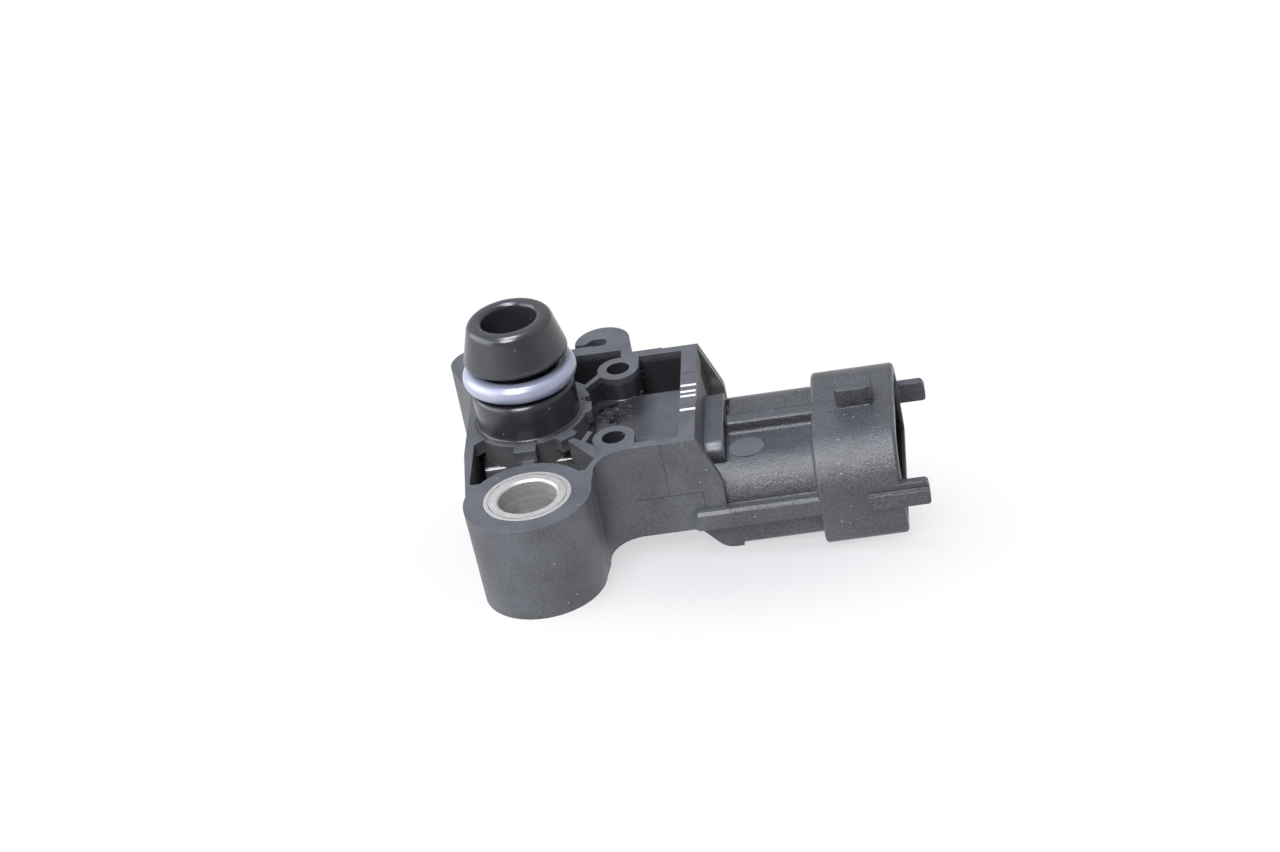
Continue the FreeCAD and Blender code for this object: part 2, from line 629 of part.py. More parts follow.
# Plug cavity, first the shroud and then the smaller core inside the neck
thin = of("shroud_wall")
pocket(housing, "shroud_cavity", "YZ_Plane", of("shroud_end"),
       of("shroud_end") - of("neck_end") - 1.2,
       [[(-shroud_half + thin, -of("shroud_foot") + thin, 0.6),
         (shroud_half - thin, -of("shroud_foot") + thin, 0.6),
         (shroud_half - thin, -of("shroud_top") - thin, of("shroud_corner") - thin),
         (-shroud_half + thin, -of("shroud_top") - thin, of("shroud_corner") - thin)]])
pocket(housing, "plug_core", "YZ_Plane", of("neck_end") + 1.3,
       of("neck_end") + 1.3 - of("plug_floor"),
       [[(-neck_half + 1.5, -of("neck_foot") + 1.5, 0.6),
         (neck_half - 1.5, -of("neck_foot") + 1.5, 0.6),
         (neck_half - 1.5, -of("neck_top") - 1.5, of("neck_corner") - 1.5),
         (-neck_half + 1.5, -of("neck_top") - 1.5, of("neck_corner") - 1.5)]])

# Guide ribs that run past the mouth on both sides: a proud lower step and a
# thinner upper one beyond the mouth
guide_foot = of("guide_foot")
guide_step = of("guide_step")
guide_end = of("guide_end")
lower_step = [(of("guide_start"), -guide_foot, 0.5), (guide_end, -guide_foot, 0.4),
              (guide_end, -guide_step), (of("guide_start"), -guide_step, 0.3)]
upper_step = [(of("shroud_end") - 1.0, -guide_step - 0.3), (guide_end, -guide_step - 0.3),
              (guide_end - 0.1, -of("guide_top"), 0.5),
              (of("shroud_end") - 1.0, -of("guide_top"))]
lower_thick = of("guide_thick") + 0.05
upper_thick = of("guide_thick") - 0.15
pad(housing, "guide_near_low", "XZ_Plane", shroud_half + of("guide_proud") - lower_thick,
    lower_thick, [lower_step])
pad(housing, "guide_near_top", "XZ_Plane", shroud_half - upper_thick, upper_thick, [upper_step])
pad(housing, "guide_far_low", "XZ_Plane", -shroud_half - of("guide_proud"), lower_thick,
    [lower_step])
pad(housing, "guide_far_top", "XZ_Plane", -shroud_half, upper_thick, [upper_step])

# Holes of the posts and the seat of the bushing
pocket(housing, "post_holes", "XY_Plane", 0, of("post_hole_depth"),
       [(post_x, -post_y, of("post_hole")), (post_x, post_y, of("post_hole"))])
middle = height / 2
bush = of("bushing_radius")
waist = bush - of("bushing_groove")
half_groove = of("bushing_groove_half")
bushing_side = [
    (bush, 0),
    (bush, -middle + half_groove + of("bushing_groove")),
    (waist, -middle + half_groove),
    (waist, -middle - half_groove),
    (bush, -middle - half_groove - of("bushing_groove")),
    (bush, -height),
]
turned(housing, "Groove", "bushing_seat",
       [(0, 0)] + bushing_side + [(0, -height)], boss_x, boss_y)

# Shallow marks across the top of the end wall
marks = []
for place in (1.65, 0.3, -0.7, -3.65):
    marks.append([(place - 0.3, 0.1), (place - 0.22, -0.3), (place + 0.25, -0.02),
                  (place + 0.3, 0.1)])
pocket(housing, "end_wall_marks", "YZ_Plane", of("right_edge") + 0.2,
       of("end_wall_top") + 0.4, marks)

# Chamber, opened from the underside, with the ledge for the cover
side_wall = of("chamber_wall")
chamber_left = -of("roof_left") + side_wall
chamber_half = half_roof - side_wall
pocket(housing, "chamber", "XY_Plane", -height, height - ceiling,
       [box_corners(chamber_left, of("chamber_end"), -chamber_half, chamber_half,
                    of("chamber_corner"))], reverse=True)
ledge = of("cover_ledge")
pocket(housing, "cover_seat", "XY_Plane", -height, of("cover_recess"),
       [box_corners(chamber_left - ledge, of("chamber_end") + ledge,
                    -chamber_half - ledge, chamber_half + ledge,
                    of("chamber_corner") + ledge)], reverse=True)

# Slots of the insert moulded terminals
blade_half = of("terminal_width") / 2
blade_thick = of("terminal_thick")
blade_low = -of("terminal_depth") - blade_thick / 2
blade_high = -of("terminal_depth") + blade_thick / 2
slots = []
for step in (-1, 0, 1):
    line = of("terminal_pitch") * step
    slots.append(box_corners(line - blade_half, line + blade_half, blade_low, blade_high))
pocket(housing, "terminal_slots", "YZ_Plane", of("plug_floor") + 0.5,
       of("plug_floor") + 1.0 - of("chamber_end"), slots)

# Sealing ring
o_ring = new_body("o_ring")
ring_half = of("ring_section") / 2
ring_sketch = new_sketch(o_ring, "o_ring_sketch", "XZ_Plane")
add_circle(ring_sketch, of("groove_floor") + of("ring_stretch") + ring_half,
           of("spigot_shoulder") + of("ring_stretch") + ring_half, ring_half)
ring_turn = o_ring.newObject("PartDesign::Revolution", "o_ring_turn")
ring_turn.Profile = ring_sketch
ring_turn.ReferenceAxis = (ring_sketch, ["V_Axis"])
ring_turn.Angle = 360

# Metal bushing
bushing = new_body("mounting_bushing")
bore = of("bushing_bore")
edge = of("bushing_chamfer")
turned(bushing, "Revolution", "bushing_turn",
       [(bore + edge, 0)] + bushing_side
       + [(bore + edge, -height), (bore, -height + edge), (bore, -edge)], boss_x, boss_y)

# Rear cover with the stub that holds the sensor cell against its seal
gap = of("cover_gap")
cover_top = -height + of("cover_recess") - of("bead_thick")
cell_top = -ceiling - of("seal_thick")
cell_foot = cell_top - of("cell_height")
rear_cover = new_body("rear_cover")
pad(rear_cover, "cover_plate", "XY_Plane", -height, of("cover_recess") - of("bead_thick"),
    [box_corners(chamber_left - ledge + gap, of("chamber_end") + ledge - gap,
                 -chamber_half - ledge + gap, chamber_half + ledge - gap,
                 of("chamber_corner") + ledge - gap)])
pad(rear_cover, "cover_stub", "XY_Plane", cover_top, cell_foot - cover_top,
    [box_corners(-2.6, 2.6, -2.6, 2.6, 0.6), ])
pocket(rear_cover, "cover_stub_core", "XY_Plane", cell_foot, cell_foot - cover_top,
       [box_corners(-1.6, 1.6, -1.6, 1.6, 0.4)])

# Glue bead between the ledge and the cover
bead = new_body("cover_adhesive")
bead_inner = of("bead_width")
pad(bead, "bead_frame", "XY_Plane", cover_top, of("bead_thick"),
    [box_corners(chamber_left - ledge + gap, of("chamber_end") + ledge - gap,
                 -chamber_half - ledge + gap, chamber_half + ledge - gap,
                 of("chamber_corner") + ledge - gap),
     box_corners(chamber_left - ledge + gap + bead_inner,
                 of("chamber_end") + ledge - gap - bead_inner,
                 -chamber_half - ledge + gap + bead_inner,
                 chamber_half + ledge - gap - bead_inner,
                 of("chamber_corner") + ledge - gap - bead_inner)])

# Sensor cell: a moulded tray that opens towards the port
cell = new_body("cell_body")
cell_half = of("cell_half")
cavity_half = of("cell_cavity_half")
cavity_floor = cell_foot + of("cell_floor")
lead_half = of("lead_width") / 2
lead_top = cavity_floor + of("lead_thick")
pad(cell, "cell_block", "XY_Plane", cell_foot, of("cell_height"),
    [box_corners(-cell_half, cell_half, -cell_half, cell_half, 0.4)])
pocket(cell, "cell_cavity", "XY_Plane", cell_top, of("cell_height") - of("cell_floor"),
       [box_corners(-cavity_half, cavity_half, -cavity_half, cavity_half, 0.5)])
lead_slots = []
for step in (-1, 0, 1):
    line = of("lead_pitch") * step
    lead_slots.append(box_corners(line - lead_half, line + lead_half, cavity_floor, lead_top))
pocket(cell, "lead_slots", "YZ_Plane", cell_half + 0.1, cell_half - cavity_half + 0.2, lead_slots)

# Seal bead between the cell and the roof, round the bore of the port
seal = new_body("cell_seal")
pad(seal, "seal_ring", "XY_Plane", cell_top, of("seal_thick"),
    [(0, 0, cell_half - 0.1), (0, 0, of("port_bore") + of("seal_inset"))])

# Chip on its glass pedestal
chip_half = of("chip_half")
chip_low = cavity_floor + of("pedestal_thick")
chip_high = chip_low + of("chip_thick")
pedestal = new_body("glass_pedestal")
pad(pedestal, "pedestal_block", "XY_Plane", cavity_floor, of("pedestal_thick"),
    [box_corners(-chip_half, chip_half, -chip_half, chip_half),
     (0, 0, 0.35)])
chip = new_body("pressure_chip")
pad(chip, "chip_block", "XY_Plane", chip_low, of("chip_thick"),
    [box_corners(-chip_half, chip_half, -chip_half, chip_half)])
pocket(chip, "chip_diaphragm", "XY_Plane", chip_low, of("chip_thick") * 0.7,
       [box_corners(-0.8, 0.8, -0.8, 0.8)], reverse=True)

# Terminals: a blade in the plug cavity and a raised foot in the chamber
foot_high = cavity_floor
foot_low = foot_high - blade_thick
riser = 12.6
terminal_line = [
    (of("terminal_tip") - 0.8, blade_low),
    (of("terminal_tip"), blade_low + 0.2),
    (of("terminal_tip"), blade_high - 0.2),
    (of("terminal_tip") - 0.8, blade_high),
    (riser + blade_thick, blade_high, 0.2),
    (riser + blade_thick, foot_high, 0.4),
    (7.0, foot_high),
    (7.0, foot_low),
    (riser, foot_low, 0.2),
    (riser, blade_low, 0.4),
]
terminals = []
for number, step in ((1, -1), (2, 0), (3, 1)):
    terminal = new_body("terminal_" + str(number))
    start = of("terminal_pitch") * (-step) - blade_half
    pad(terminal, "terminal_strip_" + str(number), "XZ_Plane", start,
        of("terminal_width"), [terminal_line])
    terminals.append(terminal)

# Leads of the cell, resting on the feet of the terminals
leads = []
for number, step in ((1, -1), (2, 0), (3, 1)):
    lead = new_body("cell_lead_" + str(number))
    inner_line = of("lead_pitch") * step
    outer_line = of("terminal_pitch") * step
    pad(lead, "lead_strip_" + str(number), "XY_Plane", cavity_floor, of("lead_thick"),
        [[(1.95, inner_line - lead_half), (cell_half + 0.5, inner_line - lead_half),
          (6.9, outer_line - lead_half), (9.0, outer_line - lead_half),
          (9.0, outer_line + lead_half), (6.9, outer_line + lead_half),
          (cell_half + 0.5, inner_line + lead_half), (1.95, inner_line + lead_half)]])
    leads.append(lead)

# Bond wires from the chip to the leads
wires = []
wire_thick = of("wire_thick")
for number, step in ((1, -1), (2, 0), (3, 1)):
    wire = new_body("bond_wire_" + str(number))
    line = of("lead_pitch") * (-step) - wire_thick / 2
    peak = chip_high + 0.55
    pad(wire, "wire_arch_" + str(number), "XZ_Plane", line, wire_thick,
        [[(1.15, chip_high), (1.15 + wire_thick, chip_high),
          (1.15 + wire_thick, peak - wire_thick, 0.2),
          (2.3 - wire_thick, peak - wire_thick, 0.2), (2.3 - wire_thick, lead_top),
          (2.3, lead_top), (2.3, peak, 0.32), (1.15, peak, 0.32)]])
    wires.append(wire)

# Capacitors across neighbouring terminals, with solder level with the feet
capacitors = []
for number, step in ((1, -1), (2, 1)):
    part = new_body("capacitor_" + str(number))
    if step < 0:
        low = -of("terminal_pitch") - blade_half
        high = blade_half * 0 - 0.1
    else:
        low = blade_half * 0 + 0.1
        high = of("terminal_pitch") + blade_half
    pad(part, "capacitor_block_" + str(number), "XY_Plane", foot_high, 1.1,
        [box_corners(10.0, 11.6, low, high, 0.15)])
    capacitors.append(part)

doc.recompute()

# Gel that fills the tray round the chip, the wires and the leads
gel_box = new_body("gel_fill")
gel_height = of("cell_height") - of("cell_floor") - of("gel_top_gap")
pad(gel_box, "gel_block", "XY_Plane", cavity_floor, gel_height,
    [box_corners(-cavity_half, cavity_half, -cavity_half, cavity_half, 0.5)])
chip_space = new_body("chip_space")
pad(chip_space, "chip_space_block", "XY_Plane", cavity_floor,
    of("pedestal_thick") + of("chip_thick"),
    [box_corners(-chip_half, chip_half, -chip_half, chip_half)])
doc.recompute()
held = doc.addObject("Part::MultiFuse", "gel_contents")
held.Shapes = [chip_space] + leads + wires
doc.recompute()
gel = doc.addObject("Part::Cut", "protective_gel")
gel.Label = "protective_gel"
gel.Base = gel_box
gel.Tool = held
doc.recompute()

# What leaves the model
nodes = [housing, o_ring, bushing, rear_cover, bead, cell, seal, pedestal, chip, gel]
nodes = nodes + terminals + leads + wires + capacitors

faults = []
for item in doc.Objects:
    if "Invalid" in item.State or "Error" in item.State:
        faults.append(item.Name + " " + str(item.State))
for item in nodes:
    if item.Shape.isNull() or not item.Shape.isValid():
        faults.append(item.Label + " has no valid shape")
    if len(item.Shape.Solids) != 1:
        faults.append(item.Label + " has " + str(len(item.Shape.Solids)) + " solids")
if faults:
    raise RuntimeError("; ".join(faults))

os.makedirs("parts", exist_ok=True)
for item in nodes:
    item.Shape.exportStep("parts/" + item.Label + ".step")
    print(item.Label, round(item.Shape.Volume, 2))
print("pieces", len(nodes))
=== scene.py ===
# %% [markdown]
# # Manifold pressure sensor
# A small black engine sensor: a flange block with a screw boss, a port with a
# sealing ring, and a neck that ends in a plug shroud. Its solids come from the
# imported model. This script gives them finishes, makes the ring again as it
# lies in its groove, adds the small marks of the moulding tool, and lights
# the part as on a white studio table.
# Everything is in metres, in the frame of the model: Z up the port, X towards
# the plug, Y away from the screw boss. Sizes thought of in millimetres are
# multiplied by MM.

# %% Load the model
import bpy
import bmesh
import json
import math
from mathutils import Matrix, Vector


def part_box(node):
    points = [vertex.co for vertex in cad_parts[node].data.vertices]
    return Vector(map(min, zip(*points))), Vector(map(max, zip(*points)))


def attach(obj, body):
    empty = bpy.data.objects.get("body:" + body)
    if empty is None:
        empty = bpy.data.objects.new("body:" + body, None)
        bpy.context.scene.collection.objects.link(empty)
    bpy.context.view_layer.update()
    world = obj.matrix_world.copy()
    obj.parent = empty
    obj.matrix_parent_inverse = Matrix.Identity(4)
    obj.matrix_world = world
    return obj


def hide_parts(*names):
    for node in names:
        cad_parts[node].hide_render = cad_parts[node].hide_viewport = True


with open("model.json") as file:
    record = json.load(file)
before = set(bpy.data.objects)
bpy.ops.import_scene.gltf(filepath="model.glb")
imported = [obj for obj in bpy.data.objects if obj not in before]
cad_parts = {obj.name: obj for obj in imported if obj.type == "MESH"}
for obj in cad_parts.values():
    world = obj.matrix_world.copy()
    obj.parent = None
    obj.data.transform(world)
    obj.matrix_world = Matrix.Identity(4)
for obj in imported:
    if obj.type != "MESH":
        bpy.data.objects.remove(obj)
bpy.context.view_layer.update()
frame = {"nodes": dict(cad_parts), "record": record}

MM = 0.001
print("nodes", len(frame["nodes"]))

# %% [markdown]
# ## The camera
# The photograph was taken with a long lens from in front of the screw boss,
# about 30 degrees above the flange, and the sensor lies turned in the picture.
# A camera can be set by eye with a target, but here its place and its three
# angles were solved from edges of known direction, so they are written as
# numbers and the turn about the view axis is kept.

# %% Camera
CAMERA_PLACE = Vector((67.40, -410.83, 239.73)) * MM
AZIMUTH, ELEVATION, ROLL = (math.radians(v) for v in (7.664, 30.405, -11.746))
SENSOR_WIDTH, LENS_LENGTH = 36, 119.17
SEES_AS_FAR_AS = 10


def camera_axes(azimuth, elevation, roll):
    back = Vector((math.sin(azimuth) * math.cos(elevation),
                   -math.cos(azimuth) * math.cos(elevation),
                   math.sin(elevation)))
    level = Vector((math.cos(azimuth), math.sin(azimuth), 0))
    upright = back.cross(level)
    right = math.cos(roll) * level + math.sin(roll) * upright
    up = -math.sin(roll) * level + math.cos(roll) * upright
    return right, up, back


camera_data = bpy.data.cameras.new("camera")
camera_data.sensor_width = SENSOR_WIDTH
camera_data.lens = LENS_LENGTH
camera_data.clip_end = SEES_AS_FAR_AS
camera = bpy.data.objects.new("camera", camera_data)
bpy.context.scene.collection.objects.link(camera)
turn = Matrix(camera_axes(AZIMUTH, ELEVATION, ROLL)).transposed()
camera.matrix_world = Matrix.Translation(CAMERA_PLACE) @ turn.to_4x4()
bpy.context.scene.camera = camera
print("camera", tuple(round(v, 3) for v in camera.location))

# %% [markdown]
# ## Helpers for shader nodes
# A finish is a small graph. Writing each node and link by hand takes many
# lines, so one helper adds a node with its settings and inputs at once. An
# input can be a value or the output of another node. Its name is written with
# _ for a space, and i0, i1 and so on stand for its number.

# %% Add and feed nodes
def feed(tree, node, **inputs):
    for name, value in inputs.items():
        numbered = name[0] == "i" and name[1:].isdigit()
        key = int(name[1:]) if numbered else name.replace("_", " ")
        if isinstance(value, bpy.types.NodeSocket):
            tree.links.new(value, node.inputs[key])
        else:
            node.inputs[key].default_value = value


def add_node(tree, kind, settings=None, **inputs):
    node = tree.nodes.new(kind)
    for name, value in (settings or {}).items():
        setattr(node, name, value)
    feed(tree, node, **inputs)
    return node


def calc(tree, operation, *values):
    inputs = {"i" + str(k): v for k, v in enumerate(values)}
    return add_node(tree, "ShaderNodeMath", {"operation": operation}, **inputs).outputs[0]


def ramp(tree, value, low, high, to_low=0.0, to_high=1.0):
    return add_node(tree, "ShaderNodeMapRange", {"interpolation_type": "SMOOTHSTEP"},
                    i0=value, i1=low, i2=high, i3=to_low, i4=to_high).outputs[0]


print("helpers: feed, add_node, calc, ramp")

# %% [markdown]
# The next helpers stand for a few nodes each: blends of two colours or values,
# the place of a point in the object, its parts along the axes, a noise, and
# the distance from an upright axis. They read as words in the finishes below.

# %% Blends, places and distances
def blend_colours(tree, share, first, second):
    return add_node(tree, "ShaderNodeMix", {"data_type": "RGBA"},
                    i0=share, i6=first, i7=second).outputs[2]


def blend_values(tree, share, first, second):
    return add_node(tree, "ShaderNodeMix", {"data_type": "FLOAT"},
                    i0=share, i2=first, i3=second).outputs[0]


def object_place(tree):
    return add_node(tree, "ShaderNodeTexCoord").outputs["Object"]


def axes_of(tree, vector):
    return add_node(tree, "ShaderNodeSeparateXYZ", Vector=vector).outputs[:]


def noise(tree, place, scale, detail, roughness=0.5):
    return add_node(tree, "ShaderNodeTexNoise", Vector=place, Scale=scale, Detail=detail,
                    Roughness=roughness).outputs[0]


def length_of(tree, first, second):
    squares = calc(tree, "ADD", calc(tree, "MULTIPLY", first, first),
                   calc(tree, "MULTIPLY", second, second))
    return calc(tree, "SQRT", squares)


def out_from(tree, axis, along, across):
    return length_of(tree, calc(tree, "SUBTRACT", along, axis[0]),
                     calc(tree, "SUBTRACT", across, axis[1]))


print("helpers: two blends, a place, its axes, a noise and two distances")

# %% [markdown]
# ## Effects shared by several finishes
# Moulded plastic, rubber and metal all show a fine grain and a slow
# unevenness. The same noises could be written again in each material, but one
# node group with named inputs is built once, and every finish uses it with
# its own numbers. The groups work on Object coordinates, because those stay
# with the part in every view.

# %% Grain and unevenness
FLOAT = "NodeSocketFloat"


def new_group(name, inputs, outputs):
    group = bpy.data.node_groups.new(name, "ShaderNodeTree")
    for label, value in inputs.items():
        socket = group.interface.new_socket(label, in_out="INPUT", socket_type=FLOAT)
        socket.default_value = value
    for label in outputs:
        group.interface.new_socket(label, in_out="OUTPUT", socket_type=FLOAT)
    return group, group.nodes.new("NodeGroupInput"), group.nodes.new("NodeGroupOutput")


def use_group(tree, group, **inputs):
    return add_node(tree, "ShaderNodeGroup", {"node_tree": group}, **inputs)


def place_in_millimetres(tree):
    return add_node(tree, "ShaderNodeVectorMath", {"operation": "SCALE"},
                    i0=object_place(tree), Scale=1 / MM).outputs[0]


grain_group, start, end = new_group(
    "moulded_grain", {"Grain Size": 0.25, "Grain Share": 1.0, "Wave Size": 6.0, "Wave Share": 0.3},
    ["Height", "Tone"])
place = place_in_millimetres(grain_group)
fine = noise(grain_group, place, calc(grain_group, "DIVIDE", 1.0, start.outputs["Grain Size"]),
             3.0, 0.65)
slow = noise(grain_group, place, calc(grain_group, "DIVIDE", 1.0, start.outputs["Wave Size"]), 2.0)
grain_height = calc(grain_group, "ADD",
                    calc(grain_group, "MULTIPLY", fine, start.outputs["Grain Share"]),
                    calc(grain_group, "MULTIPLY", slow, start.outputs["Wave Share"]))
grain_tone = calc(grain_group, "ADD", calc(grain_group, "MULTIPLY", fine, 0.5),
                  calc(grain_group, "MULTIPLY", slow, 0.5))
feed(grain_group, end, Height=grain_height, Tone=grain_tone)
print("grain nodes", len(grain_group.nodes))

# %% [markdown]
# Dust shows as a few tiny pale specks on a black part. Voronoi cells give one
# point per cell; only the cells whose random colour passes a limit get one.

# %% Dust specks
dust_group, start, end = new_group(
    "dust_specks", {"Cell Size": 1.5, "Speck Size": 0.06, "Amount": 0.1}, ["Mask"])
cells = add_node(dust_group, "ShaderNodeTexVoronoi", {"feature": "F1"},
                 Vector=place_in_millimetres(dust_group),
                 Scale=calc(dust_group, "DIVIDE", 1.0, start.outputs["Cell Size"]))
reach = calc(dust_group, "DIVIDE", start.outputs["Speck Size"], start.outputs["Cell Size"])
near = calc(dust_group, "LESS_THAN", cells.outputs["Distance"], reach)
pick = add_node(dust_group, "ShaderNodeSeparateColor", Color=cells.outputs["Color"]).outputs[0]
chosen = calc(dust_group, "LESS_THAN", pick, start.outputs["Amount"])
feed(dust_group, end, Mask=calc(dust_group, "MULTIPLY", near, chosen))
print("groups", [g.name for g in bpy.data.node_groups])

# %% [markdown]
# ## Black moulded plastic
# The housing is one moulding, yet the photograph shows several finishes: the
# flange is evenly matt, the neck and shroud carry a coarse spark grain, the
# port is glossy and the pockets are polished. One material holds them all,
# because masks made from Object coordinates choose between them, and that
# suits a single moulding better than split faces. The group only gives the
# masks; what each mask changes is set in the material below.
# A mask is 1 inside its zone and 0 outside. A zone is written as limits in
# millimetres: along the part, across it, up, or out from an axis. None leaves
# a side open.

# %% Masks from limits
BOSS_AXIS = (0.65 * MM, -17.6 * MM)
POST_AXIS = (9.95 * MM, 7.57 * MM)


def chain(tree, operation, values):
    result = values[0]
    for value in values[1:]:
        result = calc(tree, operation, result, value)
    return result


def all_of(tree, *masks):
    return chain(tree, "MULTIPLY", masks)


def any_of(tree, *masks):
    return chain(tree, "MAXIMUM", masks)


def none_of(tree, mask):
    return calc(tree, "SUBTRACT", 1.0, mask)


def zone(tree, *limits):
    masks = []
    for value, low, high in limits:
        if low is not None:
            masks.append(calc(tree, "GREATER_THAN", value, low * MM))
        if high is not None:
            masks.append(calc(tree, "LESS_THAN", value, high * MM))
    return all_of(tree, *masks)


zone_group, start, end = new_group(
    "housing_zones", {},
    ["Gloss", "Polished", "Sparked", "Bar", "Boss Side", "Far Side", "Bar Foot"])
place = object_place(zone_group)
along, across, height = axes_of(zone_group, place)
off_middle = calc(zone_group, "ABSOLUTE", across)
out_from_port = length_of(zone_group, along, across)
out_from_boss = out_from(zone_group, BOSS_AXIS, along, across)
out_from_post = out_from(zone_group, POST_AXIS, along, off_middle)
print("nodes for the places", len(zone_group.nodes))

# %% [markdown]
# The chamber roof is the floor of the pockets round the port. It is glossy
# beside the port and turns matt towards the end wall, with a ragged edge, so
# a noise moves the place where it changes. The walls of the pockets are
# polished from a little below their top edge. So are the holes of the posts,
# the hollow behind the end wall, and the notches in its top, which shine
# white in the photograph.

# %% Zones of the flange block
block_inside = zone(zone_group, (along, -6.2, 17.4), (across, -9.5, 12.0),
                    (out_from_boss, 6.7, None))
facing = add_node(zone_group, "ShaderNodeTexCoord").outputs["Normal"]
faces_up = calc(zone_group, "GREATER_THAN", axes_of(zone_group, facing)[2], 0.75)
roof = all_of(zone_group, faces_up, zone(zone_group, (height, -3.2, None)))
ragged = noise(zone_group, place, 0.45 / MM, 3.0)
ragged_along = calc(zone_group, "ADD", along, calc(zone_group, "MULTIPLY", ragged, 3.0 * MM))
matt_roof = ramp(zone_group, ragged_along, 13.4 * MM, 16.0 * MM)
gloss_roof = all_of(zone_group, block_inside, roof, none_of(zone_group, matt_roof),
                    zone(zone_group, (height, None, -2.3)))
pocket_walls = all_of(zone_group, block_inside, ramp(zone_group, height, -0.35 * MM, -1.2 * MM),
                      none_of(zone_group, roof))
port_zone = zone(zone_group, (out_from_port, None, 6.3), (height, -0.1, None))
boss_side = zone(zone_group, (out_from_boss, 6.0, 8.0), (height, None, -0.7))
wall_notches = zone(zone_group, (along, 17.2, 19.2), (off_middle, None, 4.5),
                    (height, -0.4, -0.012))
wall_hollow = zone(zone_group, (along, 19.3, 21.9), (across, 6.5, 10.2))
post_holes = zone(zone_group, (out_from_post, None, 1.36), (height, None, -0.02))
print("nodes with the flange block", len(zone_group.nodes))

# %% [markdown]
# The cavity of the plug is polished too. Its zone has the rounded outline of
# the shroud, because a plain box would also reach the outside of the rounded
# shoulders. The bar stands before the end wall on a soft foot, which catches
# the light as a pale line. The model lacks that soft form, so the foot gets a
# mask of its own, and a lighter tone stands in for it as a painted highlight.
# The far half of every polished zone and the holes of the posts get a mask
# for painted shade, because less light reaches into them. The hollow behind
# the end wall is left out of that mask.

# %% Zones of the plug, the bar with its painted foot highlight, and the painted far-side shade
PLUG_STRAIGHT, PLUG_TOP, PLUG_ROUND = 5.9, -9.44, 4.3
past_straight = calc(zone_group, "SUBTRACT", off_middle, PLUG_STRAIGHT * MM)
past_top = calc(zone_group, "SUBTRACT", height, PLUG_TOP * MM)
out_from_plug = length_of(zone_group, calc(zone_group, "MAXIMUM", 0.0, past_straight),
                          calc(zone_group, "MAXIMUM", 0.0, past_top))
plug_cavity = zone(zone_group, (along, 31.7, 40.6), (out_from_plug, None, PLUG_ROUND),
                   (height, -14.4, None))
bar_zone = zone(zone_group, (along, 19.7, 21.75), (off_middle, None, 6.4), (height, -9.0, None))
# The foot of the bar: a mask for a painted highlight.
painted_foot_highlight = zone(zone_group, (along, 21.55, 21.95), (off_middle, None, 6.5), (height, -9.0, -0.8))
# Painted shade: a darker tone for the far half of the polished zones and the post holes, not the
# hollow.
far_half = ramp(zone_group, across, -5.0 * MM, 2.0 * MM)
far_shade_mask = all_of(zone_group, any_of(zone_group, far_half, post_holes),
                  none_of(zone_group, wall_hollow))
polished = any_of(zone_group, pocket_walls, wall_notches, post_holes, plug_cavity, wall_hollow)
feed(zone_group, end, Gloss=any_of(zone_group, port_zone, gloss_roof), Polished=polished,
     Sparked=ramp(zone_group, along, 20.4 * MM, 21.9 * MM), Bar=bar_zone, Boss_Side=boss_side,
     Far_Side=far_shade_mask, Bar_Foot=painted_foot_highlight)
print("nodes of the zones", len(zone_group.nodes))

# %% [markdown]
# The material lays one finish over the other, each with its mask: first the
# even matt one, then the spark grain, the gloss, the polish, the painted
# highlight on the foot of the bar, and the dust. The colours are near black,
# a little blue, and the grain spreads them between a dark and a light tone.
# The polish carries painted light: its tone is lifted for light that hardly
# gets into the pockets, and it is darker on their far side as painted shade.
# Most edges of the model are sharp, and the Bevel node rounds them for the
# light alone, which leaves the solids as they are.

# %% Tones and rounds of the housing
MATT_TONES = ((0.031, 0.032, 0.039, 1), (0.066, 0.069, 0.083, 1))
SPARK_TONES = ((0.008, 0.008, 0.010, 1), (0.060, 0.063, 0.076, 1))
# Painted light in the pockets: the first tone is lifted for light that hardly gets in, the second is
# painted shade.
POCKET_LIFT_AND_SHADE_TONES = ((0.075, 0.075, 0.078, 1), (0.022, 0.022, 0.026, 1))
GLOSS_TONE = (0.020, 0.0205, 0.025, 1)
# A painted highlight on the soft foot of the bar.
FOOT_HIGHLIGHT_TONE = (0.16, 0.165, 0.185, 1)
DUST_TONE = (0.5, 0.5, 0.52, 1)
DUST_SHARE = 0.75
EDGE_ROUND, SPARKED_ROUND, SOFT_ROUND = 0.13 * MM, 0.34 * MM, 0.55 * MM
EVEN_DEPTH, BUMP_DEPTH = 0.16, 0.11 * MM


def empty_material(name):
    material = bpy.data.materials.new(name)
    material.use_nodes = True
    material.node_tree.nodes.clear()
    return material, material.node_tree


def start_material(name):
    material, tree = empty_material(name)
    shader = tree.nodes.new("ShaderNodeBsdfPrincipled")
    add_node(tree, "ShaderNodeOutputMaterial", i0=shader.outputs[0])
    return material, tree, shader


def relief(tree, height, strength, depth, **under):
    return add_node(tree, "ShaderNodeBump", Height=height, Strength=strength, Distance=depth,
                    **under).outputs[0]


print("tones of the housing", MATT_TONES, SPARK_TONES, POCKET_LIFT_AND_SHADE_TONES)

